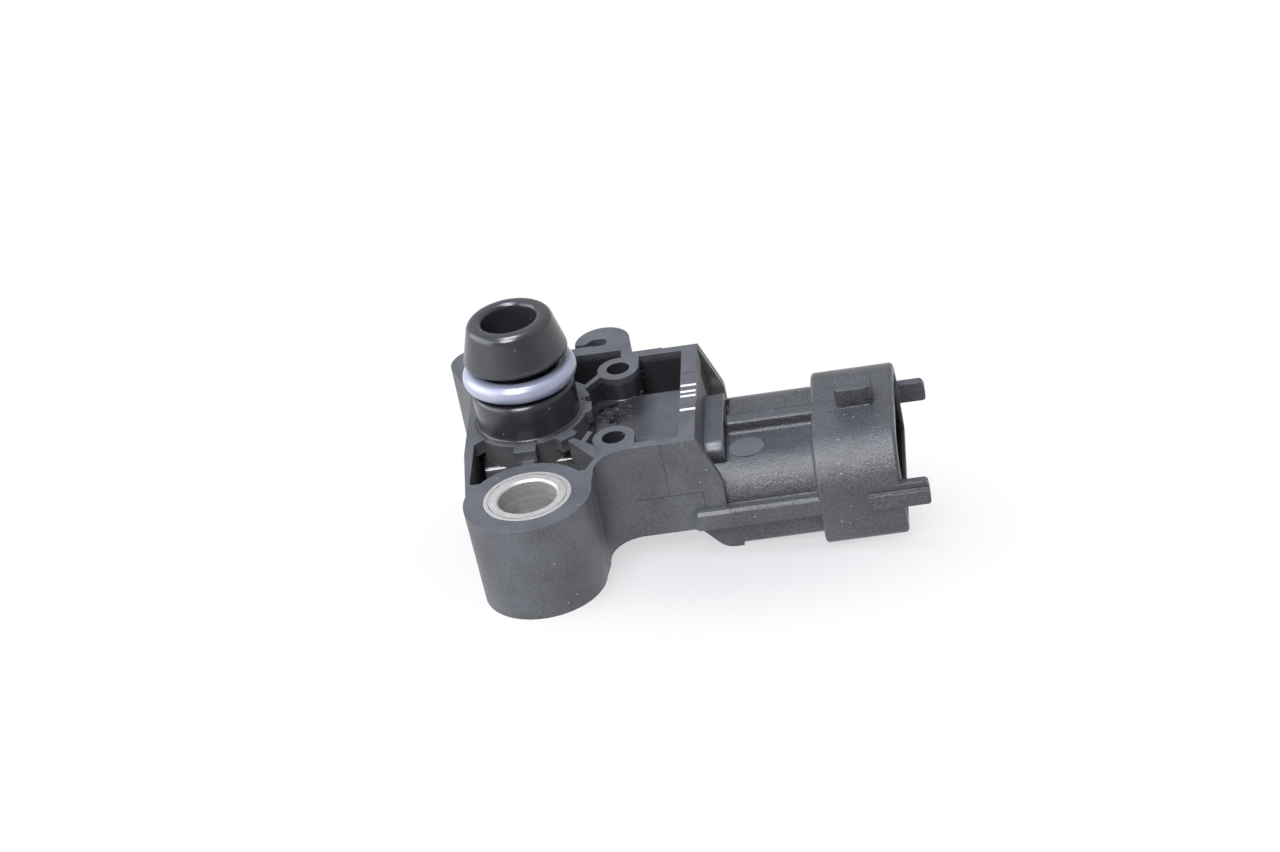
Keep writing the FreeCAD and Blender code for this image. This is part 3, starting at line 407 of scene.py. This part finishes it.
# %% Material of the housing
housing_black, tree, shader = start_material("housing_plastic")
zones = use_group(tree, zone_group).outputs
dust = use_group(tree, dust_group, Cell_Size=1.5, Speck_Size=0.07, Amount=0.6).outputs["Mask"]
even_grain = use_group(tree, grain_group, Grain_Size=0.22, Grain_Share=0.6, Wave_Size=5.0,
                       Wave_Share=0.35).outputs["Height"]
spark_grain = use_group(tree, grain_group, Grain_Size=0.24, Grain_Share=1.0, Wave_Size=5.0,
                        Wave_Share=0.2).outputs["Height"]
tone = blend_colours(tree, ramp(tree, even_grain, 0.33, 0.62), *MATT_TONES)
spark_tone = blend_colours(tree, ramp(tree, spark_grain, 0.34, 0.86), *SPARK_TONES)
# The polished tone: lifted as painted light, and darker as painted shade where the far-side mask is
# set.
pocket_painted_light = blend_colours(tree, zones["Far Side"], *POCKET_LIFT_AND_SHADE_TONES)
# This loop also lays the painted highlight on the foot of the bar.
for label, layer in (("Sparked", spark_tone), ("Gloss", GLOSS_TONE), ("Polished", pocket_painted_light),
                     ("Bar Foot", FOOT_HIGHLIGHT_TONE)):
    tone = blend_colours(tree, zones[label], tone, layer)
tone = blend_colours(tree, calc(tree, "MULTIPLY", dust, DUST_SHARE), tone, DUST_TONE)
rough = 0.50
for label, layer in (("Sparked", 0.31), ("Gloss", 0.24), ("Polished", 0.18), ("Bar", 0.36)):
    rough = blend_values(tree, zones[label], rough, layer)
edge = blend_values(tree, any_of(tree, zones["Sparked"], zones["Boss Side"]),
                    EDGE_ROUND, SPARKED_ROUND)
edge = blend_values(tree, any_of(tree, zones["Bar"], zones["Gloss"]), edge, SOFT_ROUND)
soft_edge = add_node(tree, "ShaderNodeBevel", {"samples": 8}, Radius=edge).outputs[0]
matt_share = none_of(tree, any_of(tree, zones["Polished"], zones["Gloss"]))
grain_height = blend_values(tree, zones["Sparked"], calc(tree, "MULTIPLY", even_grain, EVEN_DEPTH),
                            spark_grain)
surface = relief(tree, calc(tree, "MULTIPLY", grain_height, matt_share), 1.0, BUMP_DEPTH,
                 Normal=soft_edge)
feed(tree, shader, Base_Color=tone, Roughness=rough, Normal=surface, IOR=1.6)
print("housing nodes", len(tree.nodes))

# %% [markdown]
# ## Rubber of the sealing ring
# The ring is pale lavender rubber with a soft shine. A lower roughness alone
# would make it look like hard plastic, so the rubber stays fairly rough and a
# coat over it gives the shine. A slow unevenness keeps it from looking like
# one flat colour.

# %% Material of the sealing ring
LAVENDER_TONES = ((0.15, 0.16, 0.225, 1), (0.225, 0.24, 0.33, 1))
ring_rubber, tree, shader = start_material("seal_rubber")
grain = use_group(tree, grain_group, Grain_Size=0.35, Grain_Share=0.4, Wave_Size=3.5,
                  Wave_Share=0.8).outputs
feed(tree, shader, IOR=1.75, Coat_Weight=0.8, Coat_Roughness=0.24, Coat_IOR=1.8,
     Base_Color=blend_colours(tree, grain["Tone"], *LAVENDER_TONES),
     Roughness=ramp(tree, grain["Tone"], 0.3, 0.7, 0.36, 0.46),
     Normal=relief(tree, grain["Height"], 0.25, 0.03 * MM))
print("ring nodes", len(tree.nodes))

# %% [markdown]
# ## Metal of the bushing
# The bushing is steel turned on a lathe: its face shows fine rings round its
# own axis. They are finer than the faces of the mesh, so they aren't cut into
# it but come from a noise that reads the distance from that axis and the
# height. Patches make the rings uneven, and a thin dark line runs round near
# the rim; the patches let it wander a little.

# %% Material of the bushing
STEEL_TONES = ((0.30, 0.295, 0.285, 1), (0.50, 0.49, 0.475, 1))
LINE_TONE = (0.10, 0.10, 0.11, 1)
LINE_RADIUS, LINE_WIDTH, LINE_WANDER = 4.42 * MM, 0.05 * MM, 0.5 * MM
bushing_steel, tree, shader = start_material("bushing_steel")
along, across, height = axes_of(tree, object_place(tree))
radius = out_from(tree, BOSS_AXIS, along, across)
track = add_node(tree, "ShaderNodeCombineXYZ", i0=calc(tree, "MULTIPLY", radius, 1 / MM),
                 i1=calc(tree, "MULTIPLY", height, 1 / MM)).outputs[0]
rings = noise(tree, track, 9.0, 4.0, 0.7)
patches = use_group(tree, grain_group, Grain_Size=0.5, Grain_Share=0.5, Wave_Size=1.8,
                    Wave_Share=0.9).outputs["Tone"]
mixed = calc(tree, "ADD", calc(tree, "MULTIPLY", rings, 0.7), calc(tree, "MULTIPLY", patches, 0.4))
off_line = calc(tree, "ABSOLUTE", calc(tree, "SUBTRACT", radius, LINE_RADIUS))
wander = calc(tree, "MULTIPLY", calc(tree, "SUBTRACT", patches, 0.45), LINE_WANDER)
hairline = ramp(tree, calc(tree, "SUBTRACT", off_line, wander), 0.0, LINE_WIDTH, 0.8, 0.0)
face_tone = blend_colours(tree, ramp(tree, mixed, 0.42, 0.68), *STEEL_TONES)
soft_edge = add_node(tree, "ShaderNodeBevel", {"samples": 4}, Radius=0.1 * MM).outputs[0]
feed(tree, shader, Metallic=0.6, Base_Color=blend_colours(tree, hairline, face_tone, LINE_TONE),
     Roughness=ramp(tree, mixed, 0.35, 0.75, 0.54, 0.36),
     Normal=relief(tree, mixed, 0.45, 0.03 * MM, Normal=soft_edge))
print("bushing nodes", len(tree.nodes))

# %% [markdown]
# ## Plain finishes for the inner pieces
# The cover, the terminals, the cell and the parts in it aren't seen in the
# photograph. Each could have a material written out like the housing's, but a
# plain finish is enough here: two near tones spread by the grain, a roughness
# that varies with it, and a low relief. One function makes them all from a
# table of the record's material slots.

# %% Finishes of the inner pieces
def plain_finish(name, dark, light, rough, metallic=0.0, size=0.4, alpha=1.0):
    material, tree, shader = start_material(name)
    grain = use_group(tree, grain_group, Grain_Size=size, Grain_Share=0.6, Wave_Size=size * 8,
                      Wave_Share=0.6).outputs
    feed(tree, shader, Metallic=metallic, Alpha=alpha,
         Base_Color=blend_colours(tree, grain["Tone"], (*dark, 1), (*light, 1)),
         Roughness=ramp(tree, grain["Tone"], 0.3, 0.7, rough - 0.06, rough + 0.08),
         Normal=relief(tree, grain["Height"], 0.3, 0.02 * MM))
    return material


INNER_FINISHES = {
    "cover_plastic": ((0.040, 0.042, 0.05), (0.062, 0.064, 0.075), 0.5, {"size": 0.15}),
    "adhesive": ((0.10, 0.10, 0.11), (0.15, 0.15, 0.16), 0.4, {}),
    "cell_plastic": ((0.14, 0.12, 0.10), (0.20, 0.17, 0.14), 0.55, {}),
    "glass": ((0.62, 0.68, 0.68), (0.70, 0.76, 0.76), 0.15, {}),
    "silicon": ((0.24, 0.25, 0.29), (0.30, 0.31, 0.36), 0.18, {"metallic": 0.8}),
    "gel": ((0.55, 0.60, 0.62), (0.62, 0.66, 0.68), 0.12, {"alpha": 0.45}),
    "tinned_copper": ((0.60, 0.58, 0.54), (0.74, 0.72, 0.68), 0.32, {"metallic": 1.0}),
    "gold": ((0.75, 0.52, 0.22), (0.88, 0.66, 0.32), 0.25, {"metallic": 1.0}),
    "ceramic_block": ((0.40, 0.31, 0.22), (0.52, 0.42, 0.30), 0.45, {})}
finish_of_slot = {"housing_plastic": housing_black, "seal_rubber": ring_rubber,
                  "bushing_steel": bushing_steel}
for slot, (dark, light, rough, more) in INNER_FINISHES.items():
    finish_of_slot[slot] = plain_finish(slot, dark, light, rough, **more)
print("finishes", len(finish_of_slot))

# %% Give each node its finish
for row in frame["record"]["subparts"]:
    node = frame["nodes"][row["node"]]
    node.data.materials.clear()
    node.data.materials.append(finish_of_slot[row["material_slot"]])

# %% [markdown]
# ## Pieces of the scene's own
# The ring and the marks of the mould are new meshes. Each is built at its
# place, with bmesh or with Geometry Nodes. Then it gets one material and rides
# on the one body of the part. Two helpers do what repeats.

# %% Helpers for new pieces
def mesh_from(name, build, smooth=False):
    for face in build.faces:
        face.smooth = smooth
    mesh = bpy.data.meshes.new(name)
    build.to_mesh(mesh)
    build.free()
    return mesh


def link_mesh(name, mesh, material):
    piece = bpy.data.objects.new(name, mesh)
    bpy.context.scene.collection.objects.link(piece)
    mesh.materials.clear()
    mesh.materials.append(material)
    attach(piece, "root")
    return piece


print("helpers: mesh_from, link_mesh")

# %% [markdown]
# ## The sealing ring as it lies in its groove
# The groove is wider than the ring, and in the photograph the ring has crept
# up under the nose, a little more on its left. A torus could be turned as a
# whole, but a finished object stays unturned, so the tilt is in the mesh: a
# loop carries a round section round the groove while its height changes by a
# cosine. The new ring keeps the size of the solid one and stands for it.

# %% Sealing ring
ring_low, ring_high = (Vector(corner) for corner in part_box("o_ring"))
RING_SECTION = (ring_high.z - ring_low.z) / 2
RING_PATH = (ring_high.x - ring_low.x) / 2 - RING_SECTION
RING_HEIGHT = (ring_high.z + ring_low.z) / 2
RING_CREEP, RING_TILT, LOW_SIDE = 0.42 * MM, 0.20 * MM, 0.35
RING_STEPS, SECTION_STEPS = 144, 40


def crept_ring(name):
    build = bmesh.new()
    loops = []
    for i in range(RING_STEPS):
        turn = 2 * math.pi * i / RING_STEPS
        middle = RING_HEIGHT + RING_CREEP - RING_TILT * math.cos(turn - LOW_SIDE)
        loop = []
        for j in range(SECTION_STEPS):
            around = 2 * math.pi * j / SECTION_STEPS
            reach = RING_PATH + RING_SECTION * math.cos(around)
            loop.append(build.verts.new((reach * math.cos(turn), reach * math.sin(turn),
                                         middle + RING_SECTION * math.sin(around))))
        loops.append(loop)
    for i in range(RING_STEPS):
        here, there = loops[i], loops[(i + 1) % RING_STEPS]
        for j in range(SECTION_STEPS):
            k = (j + 1) % SECTION_STEPS
            build.faces.new((here[j], there[j], there[k], here[k]))
    return mesh_from(name, build, smooth=True)


sealing_ring = link_mesh("sealing_ring", crept_ring("sealing_ring"), ring_rubber)
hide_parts("o_ring")
print("ring faces", len(sealing_ring.data.polygons))

# %% [markdown]
# ## The gate mark on the chamber roof
# Molten plastic entered the mould on the roof between the posts, and the
# torn gate leaves a small lumpy, glossy patch. A grid pushed up by a sum of
# waves looks like that. Each wave is bent by the other direction, so that the
# lumps don't line up. The grid sinks below the roof at its rim and so comes
# out of it with a ragged edge. It is a real mesh, since bump alone would keep
# the outline flat. The sizes here are in millimetres.

# %% Shape of the gate mark
CHAMBER_ROOF = -2.85
GATE_CENTRE, GATE_HALF, GATE_STEPS = (9.4, 2.6), (2.6, 3.0), (44, 50)
GATE_LIFT, RIM_DROP, LOWEST, GATE_BASE = 0.26, 0.05, -0.04, 0.3
EVEN_SHARE, LUMP_SHARE, LUMP_STRETCH = 0.3, 0.7, (0.9, 1.1)
WAVES = ((0.9, 0.6), (1.9, 0.3), (3.7, 0.1))


def lump_height(x, y):
    value = 0.0
    for wave, weight in WAVES:
        bent_x = x * wave * 1.7 + 1.3 * math.sin(y * wave)
        bent_y = y * wave * 1.3 + 0.7 * math.sin(x * wave * 0.8)
        value += weight * math.sin(bent_x) * math.cos(bent_y)
    return value


def rim_of(rows):
    return (rows[0] + [row[-1] for row in rows[1:]] + rows[-1][-2::-1]
            + [row[0] for row in rows[-2:0:-1]])


def patch_point(i, j):
    u = 2 * i / GATE_STEPS[0] - 1
    v = 2 * j / GATE_STEPS[1] - 1
    fade = max(0.0, 1 - (u * u + v * v) ** 1.5)
    x = GATE_CENTRE[0] + u * GATE_HALF[0]
    y = GATE_CENTRE[1] + v * GATE_HALF[1]
    lumps = EVEN_SHARE + LUMP_SHARE * lump_height(x * LUMP_STRETCH[0], y * LUMP_STRETCH[1])
    bulge = GATE_LIFT * fade * lumps - RIM_DROP * (1 - fade)
    return (x * MM, y * MM, (CHAMBER_ROOF + max(bulge, LOWEST)) * MM)


def lumpy_patch(name):
    build = bmesh.new()
    columns, lines = GATE_STEPS
    top = [[build.verts.new(patch_point(i, j)) for i in range(columns + 1)] for j in range(lines + 1)]
    base = (CHAMBER_ROOF - GATE_BASE) * MM
    low = [[build.verts.new((v.co.x, v.co.y, base)) for v in row] for row in top]
    for j in range(lines):
        for i in range(columns):
            build.faces.new((top[j][i], top[j][i + 1], top[j + 1][i + 1], top[j + 1][i]))
            build.faces.new((low[j][i], low[j + 1][i], low[j + 1][i + 1], low[j][i + 1]))
    top_rim, low_rim = rim_of(top), rim_of(low)
    for k in range(len(top_rim)):
        n = (k + 1) % len(top_rim)
        build.faces.new((top_rim[n], top_rim[k], low_rim[k], low_rim[n]))
    return mesh_from(name, build, smooth=True)


gate_mesh = lumpy_patch("gate_mark")
print("gate mark faces", len(gate_mesh.polygons))

# %% [markdown]
# The torn face is glossier than the roof, with cracks that reach in from the
# side of the port. The cracks are blots of a noise, pushed down by the bump
# and given a darker tone, which is painted shade in them; a ramp along the
# part fades them out.

# %% Finish of the gate mark
GATE_TONES = ((0.006, 0.006, 0.008, 1), (0.030, 0.030, 0.034, 1))
# The dark tone of the cracks is painted shade.
CRACK_SHADE_TONE = (0.003, 0.003, 0.004, 1)
CRACK_DEPTH = 1.5
gate_black, tree, shader = start_material("gate_gloss")
grain = use_group(tree, grain_group, Grain_Size=0.5, Grain_Share=0.5, Wave_Size=2.0,
                  Wave_Share=1.0).outputs
place = object_place(tree)
blots = ramp(tree, noise(tree, place, 1.1 / MM, 3.0), 0.56, 0.61)
from_collar = ramp(tree, axes_of(tree, place)[0], 8.4 * MM, 10.6 * MM, 1.0, 0.0)
crack_and_shade_share = calc(tree, "MULTIPLY", blots, from_collar)
gate_tone = blend_colours(tree, grain["Tone"], *GATE_TONES)
gate_height = calc(tree, "SUBTRACT", grain["Height"],
                   calc(tree, "MULTIPLY", crack_and_shade_share, CRACK_DEPTH))
feed(tree, shader, Base_Color=blend_colours(tree, crack_and_shade_share, gate_tone, CRACK_SHADE_TONE),
     Roughness=ramp(tree, grain["Tone"], 0.35, 0.65, 0.08, 0.16),
     Normal=relief(tree, gate_height, 1.0, 0.35 * MM))
link_mesh("gate_mark", gate_mesh, gate_black)
print("gate mark nodes", len(tree.nodes))

# %% [markdown]
# ## Ejector marks
# Pins push the warm part out of its mould and leave shallow round marks. They
# repeat, so Geometry Nodes make them: a low disc is set on each point of a
# list, and the same tree serves the neck and the underside.

# %% Tree of the ejector marks
def disc_tree():
    tree = bpy.data.node_groups.new("ejector_marks_tree", "GeometryNodeTree")
    sockets = tree.interface
    sockets.new_socket("Geometry", in_out="INPUT", socket_type="NodeSocketGeometry")
    keys = {}
    for label, value in (("Mark Radius", 2.0 * MM), ("Mark Height", 0.05 * MM)):
        socket = sockets.new_socket(label, in_out="INPUT", socket_type=FLOAT)
        socket.default_value = value
        keys[label] = socket.identifier
    finish = sockets.new_socket("Finish", in_out="INPUT", socket_type="NodeSocketMaterial")
    keys["Finish"] = finish.identifier
    sockets.new_socket("Geometry", in_out="OUTPUT", socket_type="NodeSocketGeometry")
    start = tree.nodes.new("NodeGroupInput")
    disc = add_node(tree, "GeometryNodeMeshCylinder", Vertices=48,
                    Radius=start.outputs["Mark Radius"], Depth=start.outputs["Mark Height"])
    spots = add_node(tree, "GeometryNodeMeshToPoints", Mesh=start.outputs["Geometry"])
    placed = add_node(tree, "GeometryNodeInstanceOnPoints", Points=spots.outputs[0],
                      Instance=disc.outputs["Mesh"])
    real = add_node(tree, "GeometryNodeRealizeInstances", Geometry=placed.outputs[0])
    dressed = add_node(tree, "GeometryNodeSetMaterial", Geometry=real.outputs[0],
                       Material=start.outputs["Finish"])
    add_node(tree, "NodeGroupOutput", i0=dressed.outputs[0])
    return tree, keys


mark_tree, mark_keys = disc_tree()
print("nodes of the mark tree", len(mark_tree.nodes))

# %% Ejector marks
NECK_TOP, UNDERSIDE, SHROUD_FOOT = -5.45, -11.7, -15.65
smooth_black = plain_finish("smooth_plastic", (0.062, 0.066, 0.08), (0.072, 0.076, 0.092), 0.36,
                            size=0.12)


def marks_on(name, points, radius, thick):
    seed = bpy.data.meshes.new(name + "_points")
    seed.from_pydata([Vector(p) * MM for p in points], [], [])
    carrier = bpy.data.objects.new(name + "_points", seed)
    bpy.context.scene.collection.objects.link(carrier)
    modifier = carrier.modifiers.new("marks", "NODES")
    modifier.node_group = mark_tree
    modifier[mark_keys["Mark Radius"]] = radius * MM
    modifier[mark_keys["Mark Height"]] = thick * MM
    modifier[mark_keys["Finish"]] = smooth_black
    ready = carrier.evaluated_get(bpy.context.evaluated_depsgraph_get())
    mesh = bpy.data.meshes.new_from_object(ready)
    mesh.name = name
    carrier.modifiers.remove(modifier)
    bpy.data.objects.remove(carrier)
    return link_mesh(name, mesh, smooth_black)


neck_mark = marks_on("neck_ejector_mark", [(24.05, -4.5, NECK_TOP)], 2.0, 0.03)
underside_marks = marks_on("underside_ejector_marks", [
    (-4.0, 9.2, UNDERSIDE), (12.5, 8.4, UNDERSIDE), (12.5, -8.4, UNDERSIDE),
    (-5.4, -11.0, UNDERSIDE), (36.5, 7.0, SHROUD_FOOT), (36.5, -7.0, SHROUD_FOOT)], 1.2, 0.05)
print("mark faces", len(neck_mark.data.polygons), len(underside_marks.data.polygons))

# %% [markdown]
# ## Witness lines of the mould
# Where two parts of the mould meet, the plastic keeps a hair-fine line. A
# mask could paint it, but the exported model keeps real geometry better. Thin
# bars, sunk almost wholly into the wall and a little darker than it, draw the
# lines. The sizes here are in millimetres.

# %% Witness lines
NEAR_WALL, PROUD, SUNK = -10.45, 0.012, 0.05
WALL_LINES = ((15.17, 15.25, -6.9, -0.02), (10.9, 19.0, -6.95, -6.87), (18.9, 18.97, -9.2, -6.9))
OTHER_LINES = [((22.2, 0.55, -4.06), (34.4, 0.62, -4.03)),
               ((17.35, 4.34, -0.05), (19.1, 4.47, 0.014))]


def thin_bars(name, bars):
    build = bmesh.new()
    for low, high in bars:
        corners = bmesh.ops.create_cube(build, size=1)["verts"]
        low, high = Vector(low) * MM, Vector(high) * MM
        for v in corners:
            v.co = Vector((low[k] + high[k]) / 2 + v.co[k] * (high[k] - low[k]) for k in range(3))
    return mesh_from(name, build)


bars = [((left, NEAR_WALL - PROUD, bottom), (right, NEAR_WALL + SUNK, top))
        for left, right, bottom, top in WALL_LINES] + OTHER_LINES
line_black = plain_finish("line_plastic", (0.016, 0.016, 0.020), (0.026, 0.026, 0.032), 0.7, size=0.12)
link_mesh("witness_lines", thin_bars("witness_lines", bars), line_black)
print("witness lines", len(bars))

# %% [markdown]
# ## The white table
# The sensor lies on a seamless white sheet, touching it with the foot of the
# flange block and the lower corner of the neck, so the sheet is tilted a
# little against the model's frame. It could lie level under the lowest point
# instead, but then the flange block would seem to float.

# %% Floor
FOOT = Vector((-10.0, 0, -11.7)) * MM
NECK_FOOT = Vector((21.1, 0, -14.95)) * MM
SHEET_GAP = Vector((0, 0, 0.05 * MM))
SHEET_REACH = 3.0
slope = math.atan2(FOOT.z - NECK_FOOT.z, NECK_FOOT.x - FOOT.x)
build = bmesh.new()
bmesh.ops.create_grid(build, x_segments=2, y_segments=2, size=SHEET_REACH)
floor = bpy.data.objects.new("table_sheet", mesh_from("table_sheet", build))
bpy.context.scene.collection.objects.link(floor)
floor.matrix_world = Matrix.Translation(NECK_FOOT - SHEET_GAP) @ Matrix.Rotation(slope, 4, "Y")
print("table tilt in degrees", round(math.degrees(slope), 2))

# %% [markdown]
# Two shaders are mixed by a Light Path mask: a diffuse one, which keeps the
# soft shadow under the part, and a white glow that camera rays see. Near the
# part the glow is a little darker and bluer, a painted shadow tint. The glow's
# share grows with the distance from the part, so the background is plain white
# further out. A view from below looks through the sheet, because there it
# would hide the part.

# %% Material of the sheet
WHITE = (1, 1, 1, 1)
SHEET_TONE, SHEET_SEEN = (0.88, 0.885, 0.90, 1), (0.272, 0.276, 0.290, 1)
NEAR_SHADOW_TINT = (0.972, 0.984, 1.0, 1)
FADE_CENTRE, FADE_STRETCH = (-0.0016, -0.009, 0.0), (0.75, 1.25, 1.0)
FADE_START, FADE_END = 0.008, 0.028
NEAR_SHARE = 0.62
table_white, tree = empty_material("table_white")
path = tree.nodes.new("ShaderNodeLightPath").outputs
seen = any_of(tree, path["Is Camera Ray"], path["Is Glossy Ray"], path["Is Transmission Ray"])
squashed = add_node(tree, "ShaderNodeVectorMath", {"operation": "MULTIPLY"},
                    i0=object_place(tree), i1=FADE_STRETCH).outputs[0]
away = add_node(tree, "ShaderNodeVectorMath", {"operation": "DISTANCE"}, i0=squashed,
                i1=FADE_CENTRE).outputs["Value"]
share = ramp(tree, away, FADE_START, FADE_END, NEAR_SHARE, 1.0)
# The glow near the part: a painted shadow tint, a little darker and bluer.
tint = blend_colours(tree, ramp(tree, away, FADE_START, FADE_END), NEAR_SHADOW_TINT, WHITE)
sheet = add_node(tree, "ShaderNodeBsdfDiffuse",
                 Color=blend_colours(tree, path["Is Camera Ray"], SHEET_TONE, SHEET_SEEN))
glow = add_node(tree, "ShaderNodeEmission", Color=tint, Strength=1.0)
lit = add_node(tree, "ShaderNodeMixShader", i0=calc(tree, "MULTIPLY", seen, share),
               i1=sheet.outputs[0], i2=glow.outputs[0])
from_below = calc(tree, "MULTIPLY", path["Is Camera Ray"],
                  add_node(tree, "ShaderNodeNewGeometry").outputs["Backfacing"])
clear = add_node(tree, "ShaderNodeBsdfTransparent", Color=WHITE)
sheet_shader = add_node(tree, "ShaderNodeMixShader", i0=from_below, i1=lit.outputs[0],
                        i2=clear.outputs[0])
add_node(tree, "ShaderNodeOutputMaterial", i0=sheet_shader.outputs[0])
floor.data.materials.append(table_white)
print("sheet nodes", len(tree.nodes))

# %% [markdown]
# ## Light
# The photograph has the even light of a white tent. Many lamps could give it,
# but the world does so from all round and without hard shadows: pale at the
# back and the sides, darker towards the camera, so that flat tops look
# lighter than the walls. The camera itself sees it plain white.

# %% World
BACK_LEVEL, CAMERA_LEVEL = 0.68, 0.05
LOW_TINT, HIGH_TINT = (1.0, 0.99, 0.985, 1), (0.90, 0.95, 1.10, 1)
world = bpy.data.worlds.new("white_tent")
bpy.context.scene.world = world
world.use_nodes = True
tree = world.node_tree
tree.nodes.clear()
seen = tree.nodes.new("ShaderNodeLightPath").outputs["Is Camera Ray"]
ray = axes_of(tree, add_node(tree, "ShaderNodeTexCoord").outputs["Generated"])
to_camera = calc(tree, "MULTIPLY", ray[1], -1.0)
side_light = ramp(tree, to_camera, 0.1, 0.9, BACK_LEVEL, CAMERA_LEVEL)
tint = blend_colours(tree, ramp(tree, ray[2], 0.1, 0.9), LOW_TINT, HIGH_TINT)
tent = add_node(tree, "ShaderNodeBackground", Color=blend_colours(tree, seen, tint, WHITE),
                Strength=blend_values(tree, seen, side_light, 1.0))
add_node(tree, "ShaderNodeOutputWorld", i0=tent.outputs[0])
print("world nodes", len(tree.nodes))

# %% [markdown]
# A lamp overhead lights the tops, a lamp in front gives the shine on the
# rounded shoulders and on the lip of the port, and a very large lamp at the
# left lights the left sides without a hard highlight. The Standard view shows
# a colour about as it is written.

# %% Lamps and view
AIM = Vector((0.016, -0.002, -0.005))


def soft_lamp(name, place, size, watts, colour):
    data = bpy.data.lights.new(name, "AREA")
    data.color = colour
    data.shape = "SQUARE"
    data.size = size
    data.energy = watts
    lamp = bpy.data.objects.new(name, data)
    bpy.context.scene.collection.objects.link(lamp)
    lamp.location = place
    lamp.rotation_mode = "QUATERNION"
    lamp.rotation_quaternion = (AIM - Vector(place)).to_track_quat("-Z", "Y")
    return lamp


lamps = [
    soft_lamp("overhead_lamp", (-0.03, -0.01, 0.60), size=0.20, watts=3.0, colour=(0.92, 0.95, 1.0)),
    soft_lamp("front_lamp", (-0.06, -0.38, 0.44), size=0.26, watts=4.0, colour=(1.0, 0.99, 0.98)),
    soft_lamp("left_lamp", (-0.64, -0.06, 0.13), size=0.95, watts=9.0, colour=(0.96, 0.98, 1.0))]
bpy.context.scene.view_settings.view_transform = "Standard"
print("lamps", [lamp.name for lamp in lamps])
